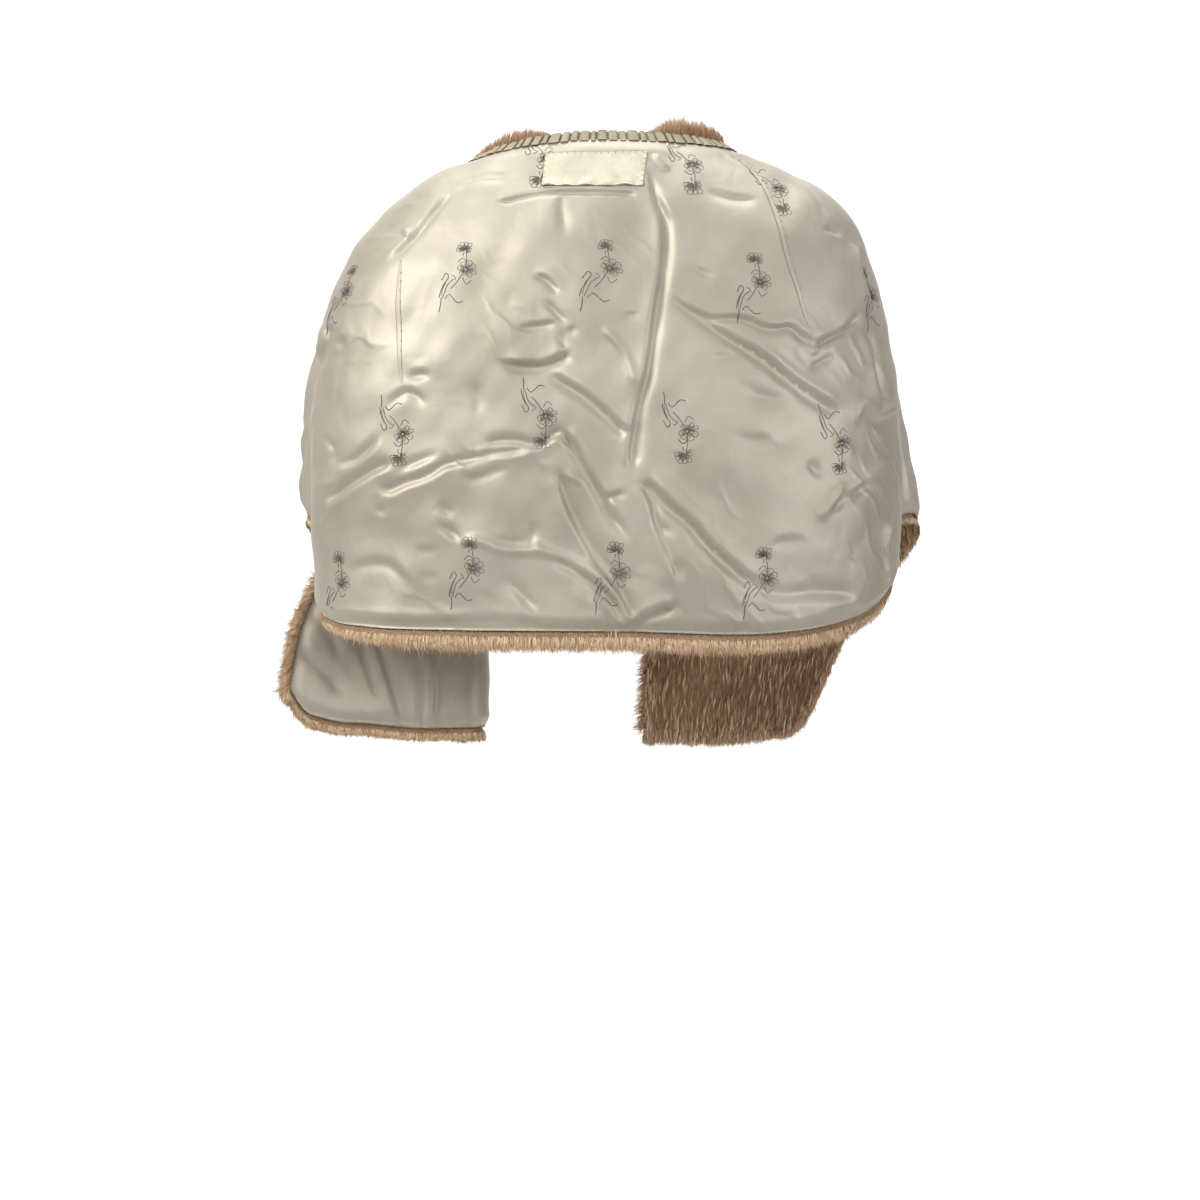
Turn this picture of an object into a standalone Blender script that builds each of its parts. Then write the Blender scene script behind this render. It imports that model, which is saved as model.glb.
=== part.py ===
"""Fur stole worn inside out on a general figure: satin lining outside, fur inside.

Metres, +Z up. The wearer faces +Y, so the back hangs at -Y. The origin lies between
the shoulders, level with the back of the neckline. Left and right are the sides at
-X and +X. Bearings run round the body from the centre back, negative to the left.
"""

import math

import bpy
import numpy as np

# Walls, from the outside of the lining inwards.
LINING = 0.0012
SEAM_GAP = 0.0003
PELT_OUTER = LINING + SEAM_GAP
PELT_INNER = 0.0128
PELT_SLACK = 0.0022

# The lining is cut loose and stands off the pelt by this much between its seams.
EASE = 0.0042
EASE_FADE = 0.030

# Bearings of the side seams, and the shape of the valley and lobe beside each. The
# seam angle is half the gap between the walls that meet there.
SIDE_SEAM = math.radians(95)
VALLEY_BEARING = math.radians(95)
VALLEY_WIDTH = math.radians(7)
LOBE_BEARING = math.radians(113)
LOBE_WIDTH = math.radians(11)
SEAM_ANGLE = 0.0022

# Rings of the worn form, from the neckline down past the hem. Drops are below the
# origin, halves and depths are from the body's axis, edges are the fronts' edges.
LEVEL_COLUMNS = (
    "back_drop", "left_drop", "right_drop", "front_drop",
    "left_half", "right_half", "back_depth", "front_depth",
    "roundness", "valley", "left_lobe", "right_lobe", "left_edge", "right_edge",
)
LEVELS = (
    (0.003, 0.028, 0.010, 0.040, 0.134, 0.122, 0.072, 0.050, 1.00, 0.000, 0.000, 0.000, 0.116, 0.104),
    (0.030, 0.040, 0.024, 0.062, 0.160, 0.147, 0.087, 0.072, 1.00, 0.000, 0.000, 0.000, 0.121, 0.102),
    (0.062, 0.056, 0.040, 0.092, 0.190, 0.185, 0.103, 0.092, 0.97, 0.000, 0.000, 0.000, 0.126, 0.098),
    (0.105, 0.082, 0.064, 0.135, 0.221, 0.225, 0.120, 0.112, 0.92, 0.001, 0.000, 0.000, 0.132, 0.092),
    (0.160, 0.122, 0.106, 0.190, 0.252, 0.256, 0.134, 0.128, 0.87, 0.005, 0.005, 0.003, 0.136, 0.085),
    (0.235, 0.190, 0.180, 0.270, 0.279, 0.277, 0.143, 0.138, 0.82, 0.012, 0.024, 0.013, 0.140, 0.077),
    (0.325, 0.290, 0.290, 0.370, 0.288, 0.289, 0.147, 0.142, 0.79, 0.016, 0.031, 0.030, 0.143, 0.067),
    (0.420, 0.400, 0.400, 0.480, 0.287, 0.291, 0.145, 0.140, 0.78, 0.015, 0.028, 0.044, 0.144, 0.056),
    (0.540, 0.530, 0.530, 0.640, 0.280, 0.274, 0.138, 0.132, 0.78, 0.008, 0.014, 0.018, 0.144, 0.046),
)

# The lining's hem by bearing, in degrees, with how far the fur shows past it.
HEM_COLUMNS = ("bearing", "left_drop", "right_drop", "left_fur", "right_fur")
HEM = (
    (0, 0.490, 0.490, 0.017, 0.017),
    (25, 0.489, 0.493, 0.018, 0.017),
    (50, 0.486, 0.481, 0.014, 0.015),
    (70, 0.479, 0.459, 0.008, 0.009),
    (84, 0.466, 0.428, 0.003, 0.003),
    (92, 0.440, 0.398, 0.003, 0.003),
    (100, 0.395, 0.378, 0.004, 0.004),
    (110, 0.372, 0.376, 0.008, 0.008),
    (122, 0.420, 0.440, 0.012, 0.012),
    (136, 0.545, 0.568, 0.014, 0.014),
    (150, 0.584, 0.588, 0.015, 0.015),
    (180, 0.588, 0.592, 0.015, 0.015),
)

# The stretch folded under at the left front: the turn's radius, the share of the way
# down where it starts, its free edge by drop, and its hem below the front's own hem.
FOLD_RADIUS = 0.0165
FACING_TOP = 0.5
FACING_BACKSET = 0.074
FREE_EDGE_COLUMNS = ("drop", "reach")
FREE_EDGE = (
    (0.13, 0.158),
    (0.20, 0.184),
    (0.30, 0.212),
    (0.37, 0.238),
    (0.41, 0.262),
    (0.44, 0.284),
    (0.466, 0.2975),
    (0.49, 0.306),
    (0.52, 0.312),
    (0.55, 0.3165),
    (0.61, 0.3175),
)
FACING_HEM_COLUMNS = ("share", "lower", "fur")
FACING_HEM = (
    (0.00, 0.000, 0.010),
    (0.30, 0.000, 0.010),
    (0.55, -0.005, 0.010),
    (0.80, -0.011, 0.011),
    (0.92, -0.021, 0.012),
    (1.00, -0.042, 0.013),
)
EDGE_FUR = 0.015
FACING_FUR = 0.0115
CORNER_CUT = 0.45
HEM_CLEARANCE = 0.0036

# Shares of the folded stretch where it starts, past the seam gap, and where its turn
# ends. Then it falls back towards the wearer's back over this run.
FACING_START = 0.0013
FACING_PELT_START = 0.0042
TURN_SHARE = 0.22
TURN_STEPS_SHARE = 0.4
FACING_RUN = 0.17
FALL_GAIN = 1.5
FALL_POWER = 1.7
FALL_EASING = 0.5
FURTHEST_FALL = 1.6

# The largest folds of the loose lining, as straight runs across the back (X and Z),
# where a depth is a trough and a negative depth is a ridge.
FOLD_COLUMNS = ("x0", "z0", "x1", "z1", "depth", "width")
BACK_FOLDS = (
    (0.045, -0.050, 0.058, -0.150, 0.0040, 0.013),
    (0.058, -0.150, 0.040, -0.250, 0.0042, 0.013),
    (0.040, -0.250, 0.026, -0.335, 0.0036, 0.013),
    (0.072, -0.180, 0.216, -0.272, 0.0042, 0.014),
    (0.208, -0.206, 0.246, -0.172, 0.0036, 0.012),
    (-0.096, -0.228, -0.036, -0.216, 0.0040, 0.014),
    (-0.050, -0.238, 0.024, -0.300, 0.0038, 0.013),
    (-0.060, -0.300, -0.216, -0.350, 0.0042, 0.014),
    (-0.040, -0.300, 0.022, -0.392, 0.0036, 0.013),
    (-0.042, -0.350, 0.026, -0.466, 0.0038, 0.014),
    (0.036, -0.344, 0.148, -0.450, 0.0042, 0.015),
    (0.164, -0.456, 0.250, -0.446, 0.0040, 0.015),
    (-0.268, -0.362, -0.204, -0.324, 0.0042, 0.013),
    (-0.164, -0.382, -0.044, -0.412, -0.0042, 0.015),
    (-0.060, -0.412, 0.016, -0.470, -0.0036, 0.014),
    (0.204, -0.376, 0.252, -0.336, -0.0040, 0.014),
    (-0.199, -0.122, -0.199, -0.246, 0.0042, 0.010),
    (0.137, -0.022, 0.176, -0.110, 0.0030, 0.010),
    (0.176, -0.110, 0.202, -0.202, 0.0038, 0.010),
)
FRONT_FOLDS = (
    (0.130, -0.130, 0.215, -0.330, 0.0040, 0.014),
    (0.110, -0.250, 0.190, -0.520, 0.0038, 0.015),
    (0.225, -0.160, 0.262, -0.330, 0.0036, 0.013),
    (0.100, -0.420, 0.140, -0.570, -0.0036, 0.014),
)
FACING_FOLDS = (
    (-0.308, -0.510, -0.262, -0.556, 0.0036, 0.013),
    (-0.240, -0.480, -0.205, -0.590, 0.0030, 0.013),
)

# Rolled fur collar: how far it stands above the neckline by bearing, in degrees.
COLLAR_HEIGHT_COLUMNS = ("bearing", "height")
COLLAR_HEIGHT = (
    (-128, 0.008), (-90, 0.008), (-60, 0.010), (-36, 0.010), (-20, 0.003),
    (0, 0.002), (20, 0.004), (32, 0.011), (50, 0.013), (90, 0.009), (128, 0.008),
)
COLLAR_RISE = 1.6
COLLAR_THICKNESS = 0.0115
COLLAR_TAPER = 0.0030
COLLAR_SLACK = 0.0016
COLLAR_FACE = 0.0016
CREST_OUTER = 0.0055
CREST_INNER = 0.0145

# Box-pleated ribbon round the neckline.
PLEATS = 40
PLEAT_SHARE = 0.84
RIBBON_HEIGHT = 0.0115
RIBBON_TOP = 0.0018
RIBBON_THICKNESS = 0.0010
PLEAT_RISE = 0.0016
RIBBON_BEARING = math.radians(112)
RIBBON_FOOT_EASE = 0.31

# Bare label, by its edges on the back.
LABEL_LEFT = -0.0565
LABEL_RIGHT = 0.0400
LABEL_TOP = -0.0235
LABEL_BOTTOM = -0.0565
LABEL_THICKNESS = 0.0010
LABEL_SLACK = 0.0011

# Steps of the pelts' grids. The linings' grids have twice as many, on the same lines.
PELT_BACK_STEPS = 10
PELT_FRONT_STEPS = 8
PELT_FACING_STEPS = 10
PELT_DOWN_STEPS = 10
CLOSING = 1.3

# Level of the elbows, where the ring is widest and its steps are set out.
ELBOW_LEVEL = 6.0

STEP = 1e-4
SAMPLES = 400
SEARCH_ROUNDS = 12
EDGE_ROUNDS = 4
SHARP_ANGLE = math.radians(50)

SATIN = ((0.55, 0.48, 0.37), 0.38)
FUR = ((0.50, 0.33, 0.20), 0.85)
CREAM = ((0.80, 0.75, 0.62), 0.6)
GREENISH_CREAM = ((0.52, 0.46, 0.34), 0.5)

# A pelt's rows past the lining's edge: share of the fur rim, outer and inner offsets.
RIM_COLUMNS = ("share", "outer", "inner")
RIM = (
    (0.00, -PELT_OUTER, -PELT_INNER),
    (0.06, 0.0002, -PELT_INNER),
    (0.55, 0.0012, -0.0122),
    (1.00, -0.0030, -0.0085),
)


def columns_of(names, rows):
    """Each named column of a table as an array."""
    return dict(zip(names, np.array(rows, dtype=float).T))


LEVEL = columns_of(LEVEL_COLUMNS, LEVELS)
HEMLINE = columns_of(HEM_COLUMNS, HEM)
FREE = columns_of(FREE_EDGE_COLUMNS, FREE_EDGE)
FACED = columns_of(FACING_HEM_COLUMNS, FACING_HEM)
COLLAR = columns_of(COLLAR_HEIGHT_COLUMNS, COLLAR_HEIGHT)
PAST_EDGE = columns_of(RIM_COLUMNS, RIM)
DEEPEST = len(LEVELS) - 1.0


def read(places, values, at):
    """A smooth curve through a column, read at the given places."""
    at = np.clip(np.asarray(at, float), places[0], places[-1])
    slopes = np.gradient(values, places)
    index = np.clip(np.searchsorted(places, at, side="right") - 1, 0, len(places) - 2)
    span = places[index + 1] - places[index]
    t = (at - places[index]) / span
    return (
        (2 * t**3 - 3 * t**2 + 1) * values[index]
        + (t**3 - 2 * t**2 + t) * span * slopes[index]
        + (3 * t**2 - 2 * t**3) * values[index + 1]
        + (t**3 - t**2) * span * slopes[index + 1]
    )


def at_level(name, level):
    return read(np.arange(len(LEVELS), dtype=float), LEVEL[name], level)


def bump(angle, centre, width):
    return np.exp(-(((angle - centre) / width) ** 2))


def ring_height(bearing, level):
    """Z of a ring: the side's drop, eased towards the back's or the front's."""
    toward_back = np.cos(bearing)
    side = np.where(bearing < 0, at_level("left_drop", level), at_level("right_drop", level))
    end = np.where(toward_back > 0, at_level("back_drop", level), at_level("front_drop", level))
    return -(side + (end - side) * np.abs(toward_back) ** 1.5)


def worn_form(bearing, level):
    """Points of the lining's outer side, by bearing and level."""
    bearing, level = np.broadcast_arrays(np.asarray(bearing, float), np.asarray(level, float))
    across, toward_back = np.sin(bearing), np.cos(bearing)
    left = bearing < 0
    half = np.where(left, at_level("left_half", level), at_level("right_half", level))
    depth = np.where(
        toward_back > 0, -at_level("back_depth", level), at_level("front_depth", level)
    )
    roundness = at_level("roundness", level)
    x = np.sign(across) * half * np.abs(across) ** roundness
    y = depth * np.abs(toward_back) ** roundness
    lobe = np.where(left, at_level("left_lobe", level), at_level("right_lobe", level))
    swell = lobe * bump(np.abs(bearing), LOBE_BEARING, LOBE_WIDTH)
    swell = swell - at_level("valley", level) * bump(np.abs(bearing), VALLEY_BEARING, VALLEY_WIDTH)
    return np.stack([x + swell * np.sign(across), y, ring_height(bearing, level)], axis=-1)


def level_at_drop(bearing, drop):
    """The level where the form at each bearing has dropped this far."""
    levels = np.linspace(0, DEEPEST, SAMPLES)
    bearing, drop = np.broadcast_arrays(np.asarray(bearing, float), np.asarray(drop, float))
    found = [
        np.interp(-d, ring_height(np.full_like(levels, b), levels)[::-1], levels[::-1])
        for b, d in zip(bearing.ravel(), drop.ravel())
    ]
    return np.array(found).reshape(bearing.shape)


def front_bearing(side, level, inset=0.0):
    """Bearing of a front's edge at a level, or of a line this far past it."""
    edge = at_level(f"{side}_edge", level) - inset
    half = at_level(f"{side}_half", level)
    share = np.clip(edge / half, 0.02, 1) ** (1 / at_level("roundness", level))
    return (math.pi - np.arcsin(share)) * (-1 if side == "left" else 1)


def hem_drop(bearing):
    """Drop of the lining's hem."""
    degrees = np.degrees(np.abs(bearing))
    left = read(HEMLINE["bearing"], HEMLINE["left_drop"], degrees)
    right = read(HEMLINE["bearing"], HEMLINE["right_drop"], degrees)
    return np.where(bearing < 0, left, right)


def hem_fur(bearing):
    """How far the fur shows past the hem."""
    degrees = np.degrees(np.abs(bearing))
    left = np.interp(degrees, HEMLINE["bearing"], HEMLINE["left_fur"])
    right = np.interp(degrees, HEMLINE["bearing"], HEMLINE["right_fur"])
    return np.where(bearing < 0, left, right)


def running_length(points):
    """Length along a line of points, at each of them."""
    steps = np.linalg.norm(np.diff(points, axis=0), axis=1)
    return np.concatenate([[0], np.cumsum(steps)])


def closing_up(end, steps):
    """Bearings from the centre back to an end, set closer together towards the end."""
    fine = np.linspace(0, end, SAMPLES)
    run = running_length(worn_form(fine, ELBOW_LEVEL))
    share = 1 - (1 - np.linspace(0, 1, steps + 1)) ** CLOSING
    return np.interp(share * run[-1], run, fine)


def opening_out(steps):
    """Shares of a front from its side seam, set further apart towards the edge."""
    return np.linspace(0, 1, steps + 1) ** CLOSING


def back_bearings(steps):
    """Bearings over the whole back, with this many steps on each side of its centre."""
    end = SIDE_SEAM - SEAM_ANGLE
    return np.concatenate([closing_up(-end, steps)[::-1], closing_up(end, steps)[1:]])


def outward(form, across, down):
    """Unit normals of a form that is given by two running values."""
    toward_right = form(across + STEP, down) - form(across - STEP, down)
    toward_hem = form(across, down + STEP) - form(across, down - STEP)
    normal = np.cross(toward_hem, toward_right)
    return normal / np.linalg.norm(normal, axis=-1, keepdims=True)


def fold_relief(points, rows):
    """How far the lining is pushed in or out at these points by a table of folds."""
    table = columns_of(FOLD_COLUMNS, rows)
    relief = np.zeros(points.shape[:-1])
    place = points[..., [0, 2]]
    for row in range(len(rows)):
        start = np.array([table["x0"][row], table["z0"][row]])
        run = np.array([table["x1"][row], table["z1"][row]]) - start
        share = np.clip(((place - start) @ run) / (run @ run), 0, 1)
        apart = np.linalg.norm(place - (start + share[..., None] * run), axis=-1)
        relief -= table["depth"][row] * np.exp(-((apart / table["width"][row]) ** 2))
    return relief


def add_solid(name, points, faces, colour, roughness):
    """A closed solid with its own material."""
    mesh = bpy.data.meshes.new(name)
    mesh.from_pydata(points.tolist(), [], faces)
    mesh.shade_smooth()
    mesh.set_sharp_from_angle(angle=SHARP_ANGLE)
    obj = bpy.data.objects.new(name, mesh)
    bpy.context.scene.collection.objects.link(obj)
    material = bpy.data.materials.new(name)
    material.use_nodes = True
    shader = material.node_tree.nodes["Principled BSDF"]
    shader.inputs["Base Color"].default_value = (*colour, 1)
    shader.inputs["Roughness"].default_value = roughness
    shader.inputs["Metallic"].default_value = 0
    mesh.materials.append(material)


def add_wall(name, outer, inner, colour, roughness):
    """A closed wall between two grids of points that match row by row."""
    rows, columns = outer.shape[:2]
    points = np.concatenate([outer.reshape(-1, 3), inner.reshape(-1, 3)])
    back = rows * columns

    def at(row, column):
        return row * columns + column

    faces = []
    for row in range(rows - 1):
        for column in range(columns - 1):
            quad = (
                at(row, column), at(row + 1, column),
                at(row + 1, column + 1), at(row, column + 1),
            )
            faces.append(quad)
            faces.append(tuple(corner + back for corner in reversed(quad)))
    rim = [at(0, c) for c in range(columns)]
    rim += [at(r, columns - 1) for r in range(1, rows)]
    rim += [at(rows - 1, c) for c in range(columns - 2, -1, -1)]
    rim += [at(r, 0) for r in range(rows - 2, 0, -1)]
    for here, following in zip(rim, rim[1:] + rim[:1]):
        faces.append((here, following, following + back, here + back))
    add_solid(name, points, faces, colour, roughness)


HEM_BEARINGS = np.radians(np.linspace(-180, 180, 721))
HEM_LEVELS = level_at_drop(HEM_BEARINGS, hem_drop(HEM_BEARINGS))


def hem_level(bearing):
    return np.interp(bearing, HEM_BEARINGS, HEM_LEVELS)


def front_edge(side, down, inset=0.0):
    """Bearing of a front's edge by share of the way down, or of a line past it."""
    bearing = front_bearing(side, down * ELBOW_LEVEL, inset)
    for _ in range(EDGE_ROUNDS):
        bearing = front_bearing(side, down * hem_level(bearing), inset)
    return bearing


def natural(side=None):
    """The worn form by (across, share of the way down to the hem). Across is a bearing
    or, on a front, a share of the way from the side seam to the front edge."""

    def form(across, down):
        if side is None:
            bearing = across
        else:
            seam = (-1 if side == "left" else 1) * (SIDE_SEAM + SEAM_ANGLE)
            edge = front_edge(side, down)
            bearing = seam + (edge - seam) * across
        return worn_form(bearing, down * hem_level(bearing))

    return form


def lining_lift(form, across, down, ends, folds):
    """How far the loose lining stands off the form: nothing at its seams and hem."""
    points = form(across, down)
    rims = (
        form(across, np.zeros_like(down)),
        form(across, np.ones_like(down)),
        form(np.full_like(across, ends[0]), down),
        form(np.full_like(across, ends[1]), down),
    )
    nearest = np.min([np.linalg.norm(points - rim, axis=-1) for rim in rims], axis=0)
    share = np.clip(nearest / EASE_FADE, 0, 1)
    fade = share * share * (3 - 2 * share)
    return np.clip(EASE + fold_relief(points, folds), 0, None) * fade


def straighten(line, every):
    """Lays the points between each two that are this many apart on a straight line."""
    for step in range(1, every):
        share = step / every
        line[step::every] = line[:-1:every] * (1 - share) + line[every::every] * share


def straight_rims(points, start_every=2):
    """Lays the four rims, and the strip beside each, on the pelt's coarser grid."""
    for row in (points[0], points[-1], points[:, -1]):
        straighten(row, 2)
    straighten(points[:, 0], start_every)
    points[:, 1] = (points[:, 0] + points[:, 2]) / 2
    points[:, -2] = (points[:, -3] + points[:, -1]) / 2
    points[-2] = (points[-3] + points[-1]) / 2
    return points


def add_lining(name, form, across, down, folds, flip=1, start_every=2):
    """A loose satin wall on a form, pushed in and out by its folds."""
    points = form(across, down)
    normals = flip * outward(form, across, down)
    ends = (across[0, 0], across[0, -1])
    lift = lining_lift(form, across, down, ends, folds)
    outer = straight_rims(points + normals * lift[..., None], start_every)
    inner = straight_rims(points + normals * (lift - LINING)[..., None], start_every)
    if flip < 0:
        outer, inner = outer[:, ::-1], inner[:, ::-1]
    add_wall(name, outer, inner, *SATIN)


def rim_offset(name, past):
    return np.interp(past, PAST_EDGE["share"], PAST_EDGE[name])


def past_edges(steps):
    """Shares 0 to 1 of the way over the cloth, then the rim's own shares."""
    inside = [(share, 0.0) for share in np.linspace(0, 1, steps + 1)]
    return inside + [(1.0, row[0]) for row in RIM[1:]]


def rounded_corner(edge, hem):
    """Draws the rim in where it passes both the front edge and the hem."""
    return edge * (1 - CORNER_CUT * hem), hem * (1 - CORNER_CUT * edge)


def add_pelt(name, points, normals, past, last_every=1):
    """A fur wall under the lining. Inside its rims it sinks by the slack."""
    within = np.zeros(past.shape)
    within[1:-1, 1:-1] = 1
    within = np.where(past > 0, 0, within)
    hem_row = (past == 0).sum(axis=0).max() - 1
    within[hem_row] = 0
    lift = rim_offset("outer", past) - within * PELT_SLACK
    outer = points + normals * lift[..., None]
    inner = points + normals * rim_offset("inner", past)[..., None]
    for side in (outer, inner):
        straighten(side[: hem_row + 1, -1], last_every)
    add_wall(name, outer, inner, *FUR)


def below_hem(bearing, share):
    """The level of a line past the hem, by share of the fur's rim."""
    drop = hem_drop(bearing) + HEM_CLEARANCE + share * hem_fur(bearing)
    return level_at_drop(bearing, drop)


def back_pelt(side):
    """Half of the back's fur, from the centre-back seam to the side seam."""
    sign = -1 if side == "left" else 1
    bearings = np.sort(closing_up(sign * (SIDE_SEAM - SEAM_ANGLE), PELT_BACK_STEPS))
    plan = past_edges(PELT_DOWN_STEPS)
    across = np.broadcast_to(bearings, (len(plan), len(bearings)))
    down = np.array([share for share, _ in plan])[:, None]
    past = np.broadcast_to(np.array([beyond for _, beyond in plan])[:, None], across.shape)
    level = down * hem_level(across)
    level = np.where(past > 0, below_hem(across, past), level)
    points = worn_form(across, level)
    points[:, -1 if sign < 0 else 0, 0] = sign * SEAM_GAP / 2
    add_pelt(f"pelt_back_{side}", points, outward(worn_form, across, level), past)


def front_pelt(side, edge_rim):
    """A front's fur, with the rim past the hem and, if wanted, past the front edge."""
    sign = -1 if side == "left" else 1
    sideways = [(share, 0.0) for share in opening_out(PELT_FRONT_STEPS)]
    sideways += [(1.0, row[0]) for row in RIM[1:]]
    if not edge_rim:
        sideways = sideways[: PELT_FRONT_STEPS + 1]
    plan = past_edges(PELT_DOWN_STEPS)
    share = np.array([s for s, _ in sideways])[None, :]
    beyond_edge = np.array([b for _, b in sideways])[None, :]
    down = np.array([s for s, _ in plan])[:, None]
    beyond_hem = np.array([b for _, b in plan])[:, None]
    past = np.maximum(beyond_edge, beyond_hem)
    beyond_edge, beyond_hem = rounded_corner(beyond_edge, beyond_hem)
    seam = sign * (SIDE_SEAM + SEAM_ANGLE)
    inset = beyond_edge * EDGE_FUR
    edge = front_edge(side, down, inset)
    past_hem = front_bearing(side, below_hem(edge, beyond_hem), inset)
    across = seam + (np.where(beyond_hem > 0, past_hem, edge) - seam) * share
    longer = below_hem(across, beyond_hem)
    level = np.where(beyond_hem > 0, longer, down * hem_level(across))
    if sign < 0:
        across, level, past = across[:, ::-1], level[:, ::-1], past[:, ::-1]
    points = worn_form(across, level)
    add_pelt(f"pelt_{side}_front", points, outward(worn_form, across, level), past)


def facing(across, level):
    """The stretch folded under, by share from the fold to the free edge, and level."""
    across, level = np.broadcast_arrays(np.asarray(across, float), np.asarray(level, float))
    bearing = front_bearing("left", level)
    start = worn_form(bearing, level)
    ahead = worn_form(bearing - 0.01, level) - start
    ahead[..., 2] = 0
    ahead /= np.linalg.norm(ahead, axis=-1, keepdims=True)
    inward = np.stack([ahead[..., 1], -ahead[..., 0], np.zeros_like(across)], axis=-1)
    turn = np.clip(across / TURN_SHARE, 0, 1) * math.pi
    centre = start + inward * FOLD_RADIUS
    turned = centre - inward * FOLD_RADIUS * np.cos(turn)[..., None]
    turned = turned + ahead * FOLD_RADIUS * np.sin(turn)[..., None]
    back = np.clip((across - TURN_SHARE) / (1 - TURN_SHARE), 0, None)
    reach = -read(FREE["drop"], FREE["reach"], -start[..., 2])
    end_x, end_y = turned[..., 0], turned[..., 1]
    x = end_x + (reach - end_x) * back
    slide = np.clip((end_x - x) / FACING_RUN, 0, FURTHEST_FALL)
    fall = FALL_GAIN * slide**FALL_POWER - FALL_EASING * slide**3
    y = end_y - FACING_BACKSET * np.clip(fall, 0, None)
    returned = np.stack([x, y, start[..., 2]], axis=-1)
    return np.where((across > TURN_SHARE)[..., None], returned, turned)


def facing_level(across, down, beyond=0.0):
    """The folded stretch's level by share of the way down to its hem, or past it."""
    back = np.clip((across - TURN_SHARE) / (1 - TURN_SHARE), 0, 1)
    levels = np.linspace(0, DEEPEST, SAMPLES)
    heights = ring_height(front_bearing("left", levels), levels)
    lower = read(FACED["share"], FACED["lower"], back)
    fur = np.interp(back, FACED["share"], FACED["fur"])
    lower = lower + np.where(np.asarray(beyond) > 0, HEM_CLEARANCE + beyond * fur, 0)
    front_down = FACING_TOP + (1 - FACING_TOP) * down
    bearing = front_edge("left", front_down)
    level = front_down * hem_level(bearing)
    height = ring_height(bearing, level) - lower * down
    return np.interp(height, heights[::-1], levels[::-1])


def facing_form(across, down):
    return facing(across, facing_level(across, down))


def facing_across(start, steps):
    """Shares over the folded stretch, the first part of them over its turn."""
    turn_steps = round(steps * TURN_STEPS_SHARE)
    turn = np.linspace(start, TURN_SHARE, turn_steps + 1)
    flat = np.linspace(TURN_SHARE, 1, steps - turn_steps + 1)[1:]
    return np.concatenate([turn, flat])


def add_facing():
    """The lining and the fur of the stretch folded under at the left front."""
    across = facing_across(FACING_START, 2 * PELT_FACING_STEPS)[None, :]
    down = np.linspace(0, 1, 2 * PELT_DOWN_STEPS + 1)[:, None]
    across, down = np.broadcast_arrays(across, down)
    name = "lining_left_facing"
    add_lining(name, facing_form, across, down, FACING_FOLDS, flip=-1, start_every=4)

    sideways = [(s, 0.0) for s in facing_across(FACING_PELT_START, PELT_FACING_STEPS)]
    sideways += [(1.0, row[0]) for row in RIM[1:]]
    plan = past_edges(PELT_DOWN_STEPS)
    share = np.array([s for s, _ in sideways])[None, :]
    beyond_edge = np.array([b for _, b in sideways])[None, :]
    down = np.array([s for s, _ in plan])[:, None]
    beyond_hem = np.array([b for _, b in plan])[:, None]
    past = np.maximum(beyond_edge, beyond_hem)
    beyond_edge, beyond_hem = rounded_corner(beyond_edge, beyond_hem)
    level = facing_level(share, down, beyond_hem)
    start, end = facing(TURN_SHARE, level), facing(1.0, level)
    width = np.linalg.norm(end - start, axis=-1)
    across = share + beyond_edge * FACING_FUR / width * (1 - TURN_SHARE)
    points = facing(across, level)
    normals = -outward(facing, across, level)
    points, normals, past = points[:, ::-1], normals[:, ::-1], past[:, ::-1]
    add_pelt("pelt_left_facing", points, normals, past, last_every=2)


def down_meridian(bearing, distance):
    """Share of the way down to the hem after going this far from the neckline."""
    shares = np.linspace(0, 0.5, SAMPLES)
    run = running_length(worn_form(bearing, shares * hem_level(bearing)))
    return np.interp(distance, run, shares)


def above_neck(bearing, height, offset, rise=0.0):
    """A point this far past the neckline and off its outside. It lies in line with the
    form, or more upright the larger the rise."""
    edge, below = worn_form(bearing, 0.0), worn_form(bearing, 0.05)
    up = (edge - below) / np.linalg.norm(edge - below) + np.array([0, 0, rise])
    up /= np.linalg.norm(up)
    return edge + up * height + outward(worn_form, bearing, STEP) * offset


def on_form(bearing, level, offset):
    """A point this far off the form's outside."""
    return worn_form(bearing, level) + outward(worn_form, bearing, level) * offset


def add_loft(name, sections, colour, roughness):
    """A closed solid through equal sections, each a closed run of points."""
    sections = np.array(sections)
    count, corners = sections.shape[:2]
    faces = [tuple(range(corners))[::-1]]
    faces.append(tuple((count - 1) * corners + c for c in range(corners)))
    for row in range(count - 1):
        for c in range(corners):
            n = (c + 1) % corners
            a, b = row * corners, (row + 1) * corners
            faces.append((a + c, a + n, b + n, b + c))
    add_solid(name, sections.reshape(-1, 3), faces, colour, roughness)


def collar_columns():
    """Bearings of the pelts' own columns on their first three rows, left to right."""
    rows = np.arange(3) / PELT_DOWN_STEPS
    shares = opening_out(PELT_FRONT_STEPS)[1:]
    columns = []
    for side, sign in (("left", -1), ("right", 1)):
        seam = sign * (SIDE_SEAM + SEAM_ANGLE)
        edge = front_edge(side, rows)
        columns.append([seam + (edge - seam) * share for share in shares])
    back = [np.full(3, bearing) for bearing in back_bearings(PELT_BACK_STEPS)]
    return columns[0][::-1] + back + columns[1], rows


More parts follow.
